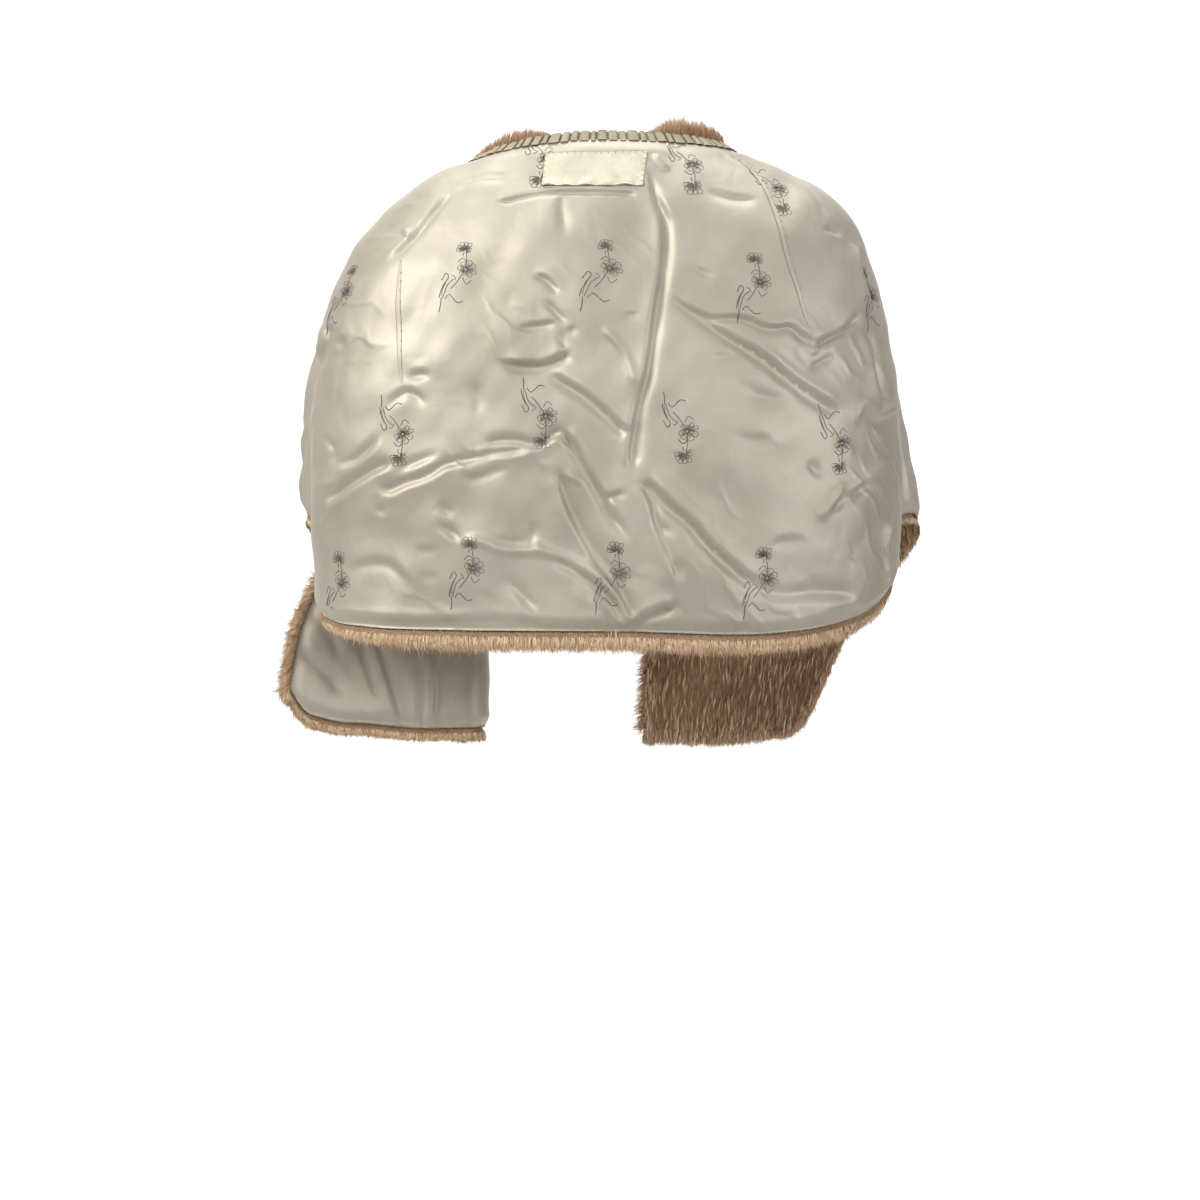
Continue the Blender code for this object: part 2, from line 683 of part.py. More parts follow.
def add_collar():
    """The rolled collar, which lies against the pelts and stands above the neckline."""
    inside = -(PELT_INNER + SEAM_GAP)
    far = inside - COLLAR_THICKNESS
    columns, rows = collar_columns()
    sections = []
    for bearings in columns:
        neck, upper, lower = bearings
        levels = rows * hem_level(bearings)
        height = float(read(COLLAR["bearing"], COLLAR["height"], math.degrees(neck)))
        section = (
            above_neck(neck, SEAM_GAP, inside),
            on_form(upper, levels[1], inside - COLLAR_SLACK),
            on_form(lower, levels[2], inside - COLLAR_TAPER),
            on_form(lower, levels[2], far),
            on_form(upper, levels[1], far - COLLAR_SLACK),
            above_neck(neck, 0.5 * height, far + COLLAR_TAPER, COLLAR_RISE),
            above_neck(neck, height, -CREST_INNER, COLLAR_RISE),
            above_neck(neck, height, -CREST_OUTER, COLLAR_RISE),
            above_neck(neck, 0.55 * height, -COLLAR_FACE, COLLAR_RISE),
            above_neck(neck, SEAM_GAP, -COLLAR_FACE),
        )
        sections.append(section)
    add_loft("fur_collar", sections, *FUR)


def back_lift(bearing, level):
    """The back lining's lift at a place on the form."""
    ends = (-SIDE_SEAM, SIDE_SEAM)
    bearing, down = np.broadcast_arrays(bearing, level / hem_level(bearing))
    return lining_lift(natural(), bearing, down, ends, BACK_FOLDS)


def add_ribbon():
    """Flat-topped box pleats with a groove between each two."""
    fine = np.linspace(-RIBBON_BEARING, RIBBON_BEARING, SAMPLES)
    run = running_length(worn_form(fine, 0.0))
    pitch = run[-1] / PLEATS
    groove = pitch * (1 - PLEAT_SHARE)
    sections = []
    for pleat in range(PLEATS):
        start = pleat * pitch
        stations = ((0.2 * groove, 0.0), (0.8 * groove, 1.0), (pitch - 0.2 * groove, 1.0))
        for distance, rise in stations:
            bearing = np.interp(start + distance, run, fine)
            down = down_meridian(bearing, RIBBON_HEIGHT - RIBBON_TOP)
            level = down * hem_level(bearing)
            base = SEAM_GAP + RIBBON_FOOT_EASE * EASE
            top = RIBBON_THICKNESS + rise * PLEAT_RISE
            section = (
                above_neck(bearing, RIBBON_TOP, SEAM_GAP),
                above_neck(bearing, RIBBON_TOP, SEAM_GAP + top),
                on_form(bearing, level, base + top),
                on_form(bearing, level, base),
            )
            sections.append(section)
    add_loft("neck_ribbon", sections, *GREENISH_CREAM)


def on_back(x, z):
    """Bearing and level of the place on the back with this X and Z."""
    x, z = np.broadcast_arrays(np.asarray(x, float), np.asarray(z, float))
    level = np.full(x.shape, DEEPEST / 2)
    bearing = np.zeros(x.shape)
    for _ in range(SEARCH_ROUNDS):
        half = np.where(x < 0, at_level("left_half", level), at_level("right_half", level))
        share = np.clip(np.abs(x) / half, 0, 1) ** (1 / at_level("roundness", level))
        bearing = np.sign(x) * np.arcsin(share)
        level = level_at_drop(bearing, -z)
    return bearing, level


def add_label():
    """The label's cloth, laid over the lining's folds."""
    across = np.linspace(LABEL_LEFT, LABEL_RIGHT, 9)
    down = np.linspace(LABEL_TOP, LABEL_BOTTOM, 5)
    bearing, level = on_back(*np.meshgrid(across, down))
    lift = back_lift(bearing, level) + LABEL_SLACK
    points = worn_form(bearing, level)
    normals = outward(worn_form, bearing, level)
    outer = points + normals * (lift + LABEL_THICKNESS)[..., None]
    add_wall("label", outer, points + normals * lift[..., None], *CREAM)


def add_back_lining():
    bearings = back_bearings(2 * PELT_BACK_STEPS)[None, :]
    down = np.linspace(0, 1, 2 * PELT_DOWN_STEPS + 1)[:, None]
    across, down = np.broadcast_arrays(bearings, down)
    add_lining("lining_back", natural(), across, down, BACK_FOLDS)


def add_front_lining(side):
    shares = opening_out(2 * PELT_FRONT_STEPS)[None, :]
    down = np.linspace(0, 1, 2 * PELT_DOWN_STEPS + 1)[:, None]
    across, down = np.broadcast_arrays(shares, down)
    sign = -1 if side == "left" else 1
    folds = [(sign * r[0], r[1], sign * r[2], *r[3:]) for r in FRONT_FOLDS]
    add_lining(f"lining_{side}_front", natural(side), across, down, folds, flip=sign)


def clear_scene():
    for obj in list(bpy.data.objects):
        bpy.data.objects.remove(obj)


def main():
    clear_scene()
    add_back_lining()
    add_front_lining("left")
    add_front_lining("right")
    add_facing()
    back_pelt("left")
    back_pelt("right")
    front_pelt("left", edge_rim=False)
    front_pelt("right", edge_rim=True)
    add_collar()
    add_ribbon()
    add_label()


main()
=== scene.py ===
"""Looks of the evening stole: a fur stole worn inside out, satin lining outermost.

Metres, +Z up. The wearer faces +Y, so the back hangs at -Y. Bearings run round the
body from the centre back, negative to the left, which is the side at -X.
"""

import logging
import math
from collections.abc import Callable, Iterable, Sequence
from dataclasses import dataclass, field
from enum import Enum
from functools import cached_property

import bpy
import numpy as np
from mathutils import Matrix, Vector

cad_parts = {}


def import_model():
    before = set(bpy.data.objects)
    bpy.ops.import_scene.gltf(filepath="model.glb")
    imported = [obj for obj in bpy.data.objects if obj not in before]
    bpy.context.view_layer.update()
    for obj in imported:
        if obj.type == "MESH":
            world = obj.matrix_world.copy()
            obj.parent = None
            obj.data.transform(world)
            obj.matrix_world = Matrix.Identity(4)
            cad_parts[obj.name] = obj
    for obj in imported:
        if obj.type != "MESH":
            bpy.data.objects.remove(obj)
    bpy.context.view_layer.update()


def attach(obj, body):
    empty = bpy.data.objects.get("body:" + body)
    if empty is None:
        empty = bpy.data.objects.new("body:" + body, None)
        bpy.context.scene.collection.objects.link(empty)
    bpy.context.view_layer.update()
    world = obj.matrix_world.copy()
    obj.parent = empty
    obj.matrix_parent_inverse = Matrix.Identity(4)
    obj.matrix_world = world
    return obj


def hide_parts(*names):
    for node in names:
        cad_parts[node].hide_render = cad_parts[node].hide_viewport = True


LOG = logging.getLogger("stole")
MM = 0.001
BODY = "root"
STEP = 1e-4
SHY = 0.001  # Just short of a grid's last row or column.

Array = np.ndarray
Form = Callable[[Array, Array], Array]
Colour = tuple[float, float, float]


class Side(Enum):
    """A side of the wearer, by the sign of X."""

    LEFT = -1
    RIGHT = 1

    @property
    def word(self) -> str:
        """The side's name in piece names."""
        return self.name.lower()


class Held(Enum):
    DRAPED = "draped"
    GATHERED = "gathered"
    FOLDED = "folded"
    LAID = "laid"


class Slot(Enum):
    """The record's material slots."""

    SATIN = "satin_lining"
    FUR = "fur"
    RIBBON = "ribbon"
    LABEL = "label_cloth"


# ---------------------------------------------------------------- form


def smooth_between(places: Array, values: Array, at: Array) -> Array:
    """Reads a smooth curve through known values.

    Args:
        places: where the values are known, rising.
        values: a number or a point for each place.
        at: where the curve is read.

    Returns:
        The curve's values there.
    """
    slopes = np.gradient(values, places, axis=0)
    index = np.clip(np.searchsorted(places, at, side="right") - 1, 0, len(places) - 2)
    span = places[index + 1] - places[index]
    t = (at - places[index]) / span
    if values.ndim > 1:
        span, t = span[..., None], t[..., None]
    return (
        (2 * t**3 - 3 * t**2 + 1) * values[index]
        + (t**3 - 2 * t**2 + t) * span * slopes[index]
        + (3 * t**2 - 2 * t**3) * values[index + 1]
        + (t**3 - t**2) * span * slopes[index + 1]
    )


@dataclass(frozen=True)
class Table:
    """Named columns of sizes. The first column holds the places of the rows."""

    columns: tuple[str, ...]
    rows: tuple[tuple[float, ...], ...]

    def column(self, name: str) -> Array:
        """One column as an array."""
        index = self.columns.index(name)
        return np.array([row[index] for row in self.rows], dtype=float)

    def straight(self, name: str, at: Array | float) -> Array:
        """A column read at places, straight between its rows."""
        return np.interp(at, self.column(self.columns[0]), self.column(name))

    def smooth(self, name: str, at: Array | float) -> Array:
        """A column read at places along a smooth curve through its rows.

        Args:
            name: the column.
            at: places, in the first column's own units.

        Returns:
            The values there, held at the ends beyond the first and last row.
        """
        places, values = self.column(self.columns[0]), self.column(name)
        at = np.clip(np.asarray(at, float), places[0], places[-1])
        return smooth_between(places, values, at)


LEVELS = Table(
    (
        "level", "back_drop", "left_drop", "right_drop", "front_drop", "left_half",
        "right_half", "back_depth", "front_depth", "roundness", "valley", "left_lobe",
        "right_lobe", "left_edge", "right_edge",
    ),
    (
        (0, .003, .028, .010, .040, .134, .122, .072, .050, 1.00, 0, 0, 0, .116, .104),
        (1, .030, .040, .024, .062, .160, .147, .087, .072, 1.00, 0, 0, 0, .121, .102),
        (2, .062, .056, .040, .092, .190, .185, .103, .092, .97, 0, 0, 0, .126, .098),
        (3, .105, .082, .064, .135, .221, .225, .120, .112, .92, .001, 0, 0, .132, .092),
        (4, .160, .122, .106, .190, .252, .256, .134, .128, .87, .005, .005, .003, .136, .085),
        (5, .235, .190, .180, .270, .279, .277, .143, .138, .82, .012, .024, .013, .140, .077),
        (6, .325, .290, .290, .370, .288, .289, .147, .142, .79, .016, .031, .030, .143, .067),
        (7, .420, .400, .400, .480, .287, .291, .145, .140, .78, .015, .028, .044, .144, .056),
        (8, .540, .530, .530, .640, .280, .274, .138, .132, .78, .008, .014, .018, .144, .046),
    ),
)
HEM = Table(
    ("bearing", "left_drop", "right_drop", "left_fur", "right_fur"),
    (
        (0, .490, .490, .017, .017), (25, .489, .493, .018, .017),
        (50, .486, .481, .014, .015), (70, .479, .459, .008, .009),
        (84, .466, .428, .003, .003), (92, .440, .398, .003, .003),
        (100, .395, .378, .004, .004), (110, .372, .376, .008, .008),
        (122, .420, .440, .012, .012), (136, .545, .568, .014, .014),
        (150, .584, .588, .015, .015), (180, .588, .592, .015, .015),
    ),
)
FREE_EDGE = Table(
    ("drop", "reach"),
    (
        (.13, .158), (.20, .184), (.30, .212), (.37, .238), (.41, .262), (.44, .284),
        (.466, .2975), (.49, .306), (.52, .312), (.55, .3165), (.61, .3175),
    ),
)
FACING_HEM = Table(
    ("share", "lower", "fur"),
    (
        (0, 0, .010), (.30, 0, .010), (.55, -.005, .010), (.80, -.011, .011),
        (.92, -.021, .012), (1, -.042, .013),
    ),
)
COLLAR_HEIGHT = Table(
    ("bearing", "height"),
    (
        (-128, .008), (-90, .008), (-60, .010), (-36, .010), (-20, .003), (0, .002),
        (20, .004), (32, .011), (50, .013), (90, .009), (128, .008),
    ),
)


def unit(vectors: Array) -> Array:
    """The same directions with length 1."""
    return vectors / np.maximum(np.linalg.norm(vectors, axis=-1, keepdims=True), 1e-12)


def bump(angle: Array, centre: float, width: float) -> Array:
    """A bell curve over angle."""
    return np.exp(-(((angle - centre) / width) ** 2))


def smoothstep(share: Array) -> Array:
    """0 to 1 with a flat start and end."""
    share = np.clip(share, 0, 1)
    return share * share * (3 - 2 * share)


def running_length(points: Array) -> Array:
    """Length along a line of points, at each of them."""
    steps = np.linalg.norm(np.diff(points, axis=0), axis=1)
    return np.concatenate([[0.0], np.cumsum(steps)])


def read_along(line: Array, run: Array, at: Array | float) -> Array:
    """A line's values at distances along it, from its own running length."""
    return np.stack([np.interp(at, run, line[:, axis]) for axis in range(line.shape[1])], -1)


def read_grid(shape: tuple[int, ...], column: Array, row: Array) -> Callable[[Array], Array]:
    """Prepares reading grids between their points.

    Args:
        shape: the grids' shape, rows first.
        column: fractions of the columns.
        row: fractions of the rows.

    Returns:
        A function from a grid to its values there.
    """
    c = np.clip(column.astype(int), 0, shape[1] - 2)
    r = np.clip(row.astype(int), 0, shape[0] - 2)
    fc, fr = (column - c)[..., None], (row - r)[..., None]

    def between(grid: Array) -> Array:
        """The grid's values between its points."""
        upper = grid[r, c] * (1 - fc) + grid[r, c + 1] * fc
        lower = grid[r + 1, c] * (1 - fc) + grid[r + 1, c + 1] * fc
        return upper * (1 - fr) + lower * fr

    return between


@dataclass(frozen=True)
class WornForm:
    """The stole's shape over the shoulders, as rings from the neckline to the hem."""

    side_seam: float = math.radians(95)
    seam_angle: float = 0.0022
    valley_bearing: float = math.radians(95)
    valley_width: float = math.radians(7)
    lobe_bearing: float = math.radians(113)
    lobe_width: float = math.radians(11)
    deepest: float = 8.0
    elbow_level: float = 6.0
    hem_clearance: float = 0.0036
    fold_radius: float = 0.0165
    facing_top: float = 0.5
    facing_backset: float = 0.074
    turn_share: float = 0.22
    turn_columns: float = 0.36
    facing_run: float = 0.17
    fall_gain: float = 1.5
    fall_power: float = 1.7
    fall_easing: float = 0.5
    furthest_fall: float = 1.6
    edge_rounds: int = 4
    search_rounds: int = 26
    place_rounds: int = 12

    def by_side(self, bearing: Array, name: str, level: Array) -> Array:
        """The left or the right column of the levels, by the bearing's sign."""
        left = LEVELS.smooth(f"left_{name}", level)
        return np.where(bearing < 0, left, LEVELS.smooth(f"right_{name}", level))

    def ring_height(self, bearing: Array, level: Array) -> Array:
        """Z of a ring: the side's drop, eased towards the back's or the front's."""
        toward_back = np.cos(bearing)
        side = self.by_side(bearing, "drop", level)
        back, front = LEVELS.smooth("back_drop", level), LEVELS.smooth("front_drop", level)
        end = np.where(toward_back > 0, back, front)
        return -(side + (end - side) * np.abs(toward_back) ** 1.5)

    def point(self, bearing: Array, level: Array) -> Array:
        """Works out points of the form.

        Args:
            bearing: their bearings.
            level: their levels, 0 at the neckline.

        Returns:
            The points, with one more axis than the bearings.
        """
        bearing, level = np.broadcast_arrays(
            np.asarray(bearing, float), np.asarray(level, float)
        )
        across, toward_back = np.sin(bearing), np.cos(bearing)
        half = self.by_side(bearing, "half", level)
        back, front = -LEVELS.smooth("back_depth", level), LEVELS.smooth("front_depth", level)
        roundness = LEVELS.smooth("roundness", level)
        x = np.sign(across) * half * np.abs(across) ** roundness
        y = np.where(toward_back > 0, back, front) * np.abs(toward_back) ** roundness
        around = np.abs(bearing)
        swell = self.by_side(bearing, "lobe", level) * bump(
            around, self.lobe_bearing, self.lobe_width
        )
        swell = swell - LEVELS.smooth("valley", level) * bump(
            around, self.valley_bearing, self.valley_width
        )
        z = self.ring_height(bearing, level)
        return np.stack([x + swell * np.sign(across), y, z], axis=-1)

    def level_at_drop(self, bearing: Array, drop: Array) -> Array:
        """Finds the level where the form has dropped this far.

        Args:
            bearing: the bearings.
            drop: how far below the origin, at each.

        Returns:
            The levels.
        """
        bearing, drop = np.broadcast_arrays(
            np.asarray(bearing, float), np.asarray(drop, float)
        )
        low, high = np.zeros(bearing.shape), np.full(bearing.shape, self.deepest)
        for _ in range(self.search_rounds):
            middle = (low + high) / 2
            above = -self.ring_height(bearing, middle) < drop
            low, high = np.where(above, middle, low), np.where(above, high, middle)
        return (low + high) / 2

    def hem_drop(self, bearing: Array) -> Array:
        """Drop of the lining's hem."""
        degrees = np.degrees(np.abs(bearing))
        left, right = HEM.smooth("left_drop", degrees), HEM.smooth("right_drop", degrees)
        return np.where(np.asarray(bearing) < 0, left, right)

    def hem_fur(self, bearing: Array) -> Array:
        """How far the fur shows past the hem."""
        degrees = np.degrees(np.abs(bearing))
        left, right = HEM.straight("left_fur", degrees), HEM.straight("right_fur", degrees)
        return np.where(np.asarray(bearing) < 0, left, right)

    @cached_property
    def hem_line(self) -> tuple[Array, Array]:
        """Bearings all round, and the hem's level at each."""
        bearings = np.radians(np.linspace(-180, 180, 721))
        return bearings, self.level_at_drop(bearings, self.hem_drop(bearings))

    def hem_level(self, bearing: Array) -> Array:
        """The hem's level at a bearing."""
        return np.interp(bearing, *self.hem_line)

    def below_hem(self, bearing: Array, share: Array) -> Array:
        """The level of a line past the hem, by share of the fur's rim."""
        drop = self.hem_drop(bearing) + self.hem_clearance + share * self.hem_fur(bearing)
        return self.level_at_drop(bearing, drop)

    def front_bearing(self, side: Side, level: Array, inset: Array | float = 0.0) -> Array:
        """Bearing of a front's edge at a level, or of a line this far past it."""
        edge = LEVELS.smooth(f"{side.word}_edge", level) - inset
        half = LEVELS.smooth(f"{side.word}_half", level)
        share = np.clip(edge / half, 0.02, 1) ** (1 / LEVELS.smooth("roundness", level))
        return (math.pi - np.arcsin(share)) * side.value

    def front_edge(self, side: Side, down: Array, inset: Array | float = 0.0) -> Array:
        """Bearing of a front's edge by share of the way down."""
        bearing = self.front_bearing(side, down * self.elbow_level, inset)
        for _ in range(self.edge_rounds):
            bearing = self.front_bearing(side, down * self.hem_level(bearing), inset)
        return bearing

    def back(self, across: Array, down: Array) -> Array:
        """The back by bearing and share of the way down to the hem."""
        return self.point(across, down * self.hem_level(across))

    def front(self, side: Side) -> Form:
        """A front as a form of two shares.

        Args:
            side: which front.

        Returns:
            Its form, from the side seam to its edge and down to the hem.
        """
        seam = side.value * (self.side_seam + self.seam_angle)

        def form(across: Array, down: Array) -> Array:
            """Points of this front."""
            bearing = seam + (self.front_edge(side, down) - seam) * across
            return self.point(bearing, down * self.hem_level(bearing))

        return form

    def folded(self, across: Array, level: Array) -> Array:
        """The stretch folded under at the left front.

        Args:
            across: shares from the fold to the free edge.
            level: levels of the form.

        Returns:
            Points, first round the fold's turn and then back towards the side.
        """
        across, level = np.broadcast_arrays(
            np.asarray(across, float), np.asarray(level, float)
        )
        bearing = self.front_bearing(Side.LEFT, level)
        start = self.point(bearing, level)
        ahead = self.point(bearing - 0.01, level) - start
        ahead[..., 2] = 0
        ahead = unit(ahead)
        inward = np.stack([ahead[..., 1], -ahead[..., 0], np.zeros_like(across)], axis=-1)
        turn = np.clip(across / self.turn_share, 0, 1) * math.pi
        turned = start + inward * self.fold_radius * (1 - np.cos(turn))[..., None]
        turned = turned + ahead * self.fold_radius * np.sin(turn)[..., None]
        back = np.clip((across - self.turn_share) / (1 - self.turn_share), 0, None)
        end_x, end_y = turned[..., 0], turned[..., 1]
        reach = -FREE_EDGE.smooth("reach", -start[..., 2])
        x = end_x + (reach - end_x) * back
        slide = np.clip((end_x - x) / self.facing_run, 0, self.furthest_fall)
        fall = self.fall_gain * slide**self.fall_power - self.fall_easing * slide**3
        y = end_y - self.facing_backset * np.clip(fall, 0, None)
        returned = np.stack([x, y, start[..., 2]], axis=-1)
        return np.where((across > self.turn_share)[..., None], returned, turned)

    def fold_columns(self, start: float, columns: int) -> Array:
        """Shares across the folded stretch, closer together round its turn.

        Args:
            start: the first share.
            columns: how many steps to the free edge.

        Returns:
            The shares, rising to 1.
        """
        turn = round(columns * self.turn_columns)
        behind = np.linspace(self.turn_share, 1, columns - turn + 1)
        return np.concatenate([np.linspace(start, self.turn_share, turn + 1), behind[1:]])

    @cached_property
    def fold_heights(self) -> tuple[Array, Array]:
        """Heights of the left front's edge from low to high, with their levels."""
        levels = np.linspace(0, self.deepest, 400)
        heights = self.ring_height(self.front_bearing(Side.LEFT, levels), levels)
        return heights[::-1], levels[::-1]

    def folded_level(self, across: Array, down: Array, beyond: Array | float = 0.0) -> Array:
        """Finds the folded stretch's level.

        Args:
            across: shares from the fold to the free edge.
            down: shares of the way down to its hem.
            beyond: shares of the fur's rim past the hem.

        Returns:
            The levels of the form.
        """
        back = np.clip((across - self.turn_share) / (1 - self.turn_share), 0, 1)
        lower = FACING_HEM.smooth("lower", back)
        fur = FACING_HEM.straight("fur", back)
        past = self.hem_clearance + beyond * fur
        lower = lower + np.where(np.asarray(beyond) > 0, past, 0)
        front_down = self.facing_top + (1 - self.facing_top) * down
        bearing = self.front_edge(Side.LEFT, front_down)
        level = front_down * self.hem_level(bearing)
        height = self.ring_height(bearing, level) - lower * down
        return np.interp(height, *self.fold_heights)

    def facing(self, across: Array, down: Array) -> Array:
        """The folded stretch by shares, down to its own hem."""
        return self.folded(across, self.folded_level(across, down))

    def on_back(self, x: Array, down: Array) -> tuple[Array, Array]:
        """Where a place seen from behind lies on the back.

        Args:
            x: X in metres.
            down: drop below the origin in metres.

        Returns:
            Its bearing, and its share of the way down to the hem.
        """
        x, down = np.broadcast_arrays(np.asarray(x, float), np.asarray(down, float))
        level, bearing = np.full(x.shape, self.deepest / 2), np.zeros(x.shape)
        for _ in range(self.place_rounds):
            half = self.by_side(x, "half", level)
            share = np.clip(np.abs(x) / half, 0, 1) ** (1 / LEVELS.smooth("roundness", level))
            bearing = np.sign(x) * np.arcsin(share)
            level = self.level_at_drop(bearing, down)
        return bearing, level / self.hem_level(bearing)


def outward(form: Form, across: Array, down: Array) -> Array:
    """Unit normals of a form that is given by two running values."""
    toward_right = form(across + STEP, down) - form(across - STEP, down)
    toward_hem = form(across, down + STEP) - form(across, down - STEP)
    return unit(np.cross(toward_hem, toward_right))


FORM = WornForm()


# ---------------------------------------------------------------- meshes


def grid_faces(rows: int, columns: int, start: int = 0) -> Array:
    """Quads of a grid of points numbered row by row from start."""
    index = start + np.arange(rows * columns).reshape(rows, columns)
    corners = (index[:-1, :-1], index[1:, :-1], index[1:, 1:], index[:-1, 1:])
    return np.stack(corners, axis=-1).reshape(-1, 4)


def split_along_creases(faces: Array, surface: Array) -> Array:
    """Turns a grid's quads so that each is split along the crease that crosses it.

    Args:
        faces: the grid's quads, row by row.
        surface: the grid's points.

    Returns:
        The same quads, some of them starting at their next corner.
    """
    wide = np.pad(surface, ((1, 1), (1, 1), (0, 0)), mode="edge")
    falling = wide[:-3, :-3] - wide[1:-2, 1:-2] - wide[2:-1, 2:-1] + wide[3:, 3:]
    rising = wide[3:, :-3] - wide[2:-1, 1:-2] - wide[1:-2, 2:-1] + wide[:-3, 3:]
    bends = [np.linalg.norm(way, axis=-1).reshape(-1, 1) for way in (falling, rising)]
    return np.where(bends[1] < bends[0], np.roll(faces, 1, axis=1), faces)


def rim_indices(rows: int, columns: int) -> Array:
    """Numbers of a grid's outermost points, once round."""
    index = np.arange(rows * columns).reshape(rows, columns)
    sides = (index[0, :-1], index[:-1, -1], index[-1, :0:-1], index[:0:-1, 0])
    return np.concatenate(sides)


class Joined:
    """Many small meshes gathered into one."""

    def __init__(self) -> None:
        """Starts empty."""
        self.points: list[Array] = []
        self.faces: dict[int, list[Array]] = {}
        self.marks: list[Array] = []
        self.count = 0

    def add(self, points: Array, faces: Iterable[Array], marks: Array | None = None) -> None:
        """Adds a mesh.

        Args:
            points: its points.
            faces: arrays of faces, each array with one number of corners.
            marks: two values for each point, kept as the piece's UV.
        """
        for group in faces:
            self.faces.setdefault(group.shape[1], []).append(group + self.count)
        self.points.append(points.reshape(-1, 3))
        self.marks.append(np.zeros((len(points), 2)) if marks is None else marks)
        self.count += len(self.points[-1])

    def turn_over(self, shift: int = 0) -> None:
        """Turns every face the other way round, and then its corners on by shift."""
        for size, groups in self.faces.items():
            self.faces[size] = [np.roll(group[:, ::-1], shift, axis=1) for group in groups]

    def piece(self, name: str, marked: bool = False) -> bpy.types.Object:
        """Makes the object, shaded smooth.

        Args:
            name: the piece's name.
            marked: whether the marks become a UV map.

        Returns:
            The object, linked to the scene.
        """
        mesh = bpy.data.meshes.new(name)
        points = np.concatenate(self.points).astype(np.float32)
        groups = [np.concatenate(self.faces[size]) for size in sorted(self.faces)]
        corners = np.concatenate([group.ravel() for group in groups])
        sizes = np.concatenate([np.full(len(group), group.shape[1]) for group in groups])
        mesh.vertices.add(len(points))
        mesh.vertices.foreach_set("co", points.ravel())
        mesh.loops.add(len(corners))
        mesh.loops.foreach_set("vertex_index", corners.astype(np.int32))
        mesh.polygons.add(len(sizes))
        starts = np.concatenate([[0], np.cumsum(sizes)[:-1]]).astype(np.int32)
        mesh.polygons.foreach_set("loop_start", starts)
        if marked:
            layer = mesh.uv_layers.new(name="OFBake")
            marks = np.concatenate(self.marks).astype(np.float32)
            layer.data.foreach_set("uv", marks[corners].ravel())
        mesh.update(calc_edges=True)
        mesh.validate()
        mesh.shade_smooth()
        piece = bpy.data.objects.new(name, mesh)
        bpy.context.scene.collection.objects.link(piece)
        return piece


def shell(outer: Array, inner: Array, every: int) -> Joined:
    """A closed thin wall whose inner side has fewer points.

    Args:
        outer: the outer side's grid of points.
        inner: the inner side's points on the same grid.
        every: the inner side keeps each row and column of this number.

    Returns:
        The closed mesh.
    """
    rows, columns = outer.shape[:2]
    coarse = inner[::every, ::every]
    coarse_rows, coarse_columns = coarse.shape[:2]
    back = rows * columns
    mesh = Joined()
    outer_rim = rim_indices(rows, columns)
    inner_rim = back + rim_indices(coarse_rows, coarse_columns)
    here, following = outer_rim, np.roll(outer_rim, -1)
    owner = inner_rim[np.arange(len(outer_rim)) // every]
    fans = np.stack([here, owner, following], axis=-1)
    last = outer_rim[(np.arange(len(inner_rim)) * every + every) % len(outer_rim)]
    closing = np.stack([last, inner_rim, np.roll(inner_rim, -1)], axis=-1)
    mesh.add(
        np.concatenate([outer.reshape(-1, 3), coarse.reshape(-1, 3)]),
        (
            split_along_creases(grid_faces(rows, columns), outer),
            grid_faces(coarse_rows, coarse_columns, back)[:, ::-1],
            np.concatenate([fans, closing]),
        ),
    )
    return mesh


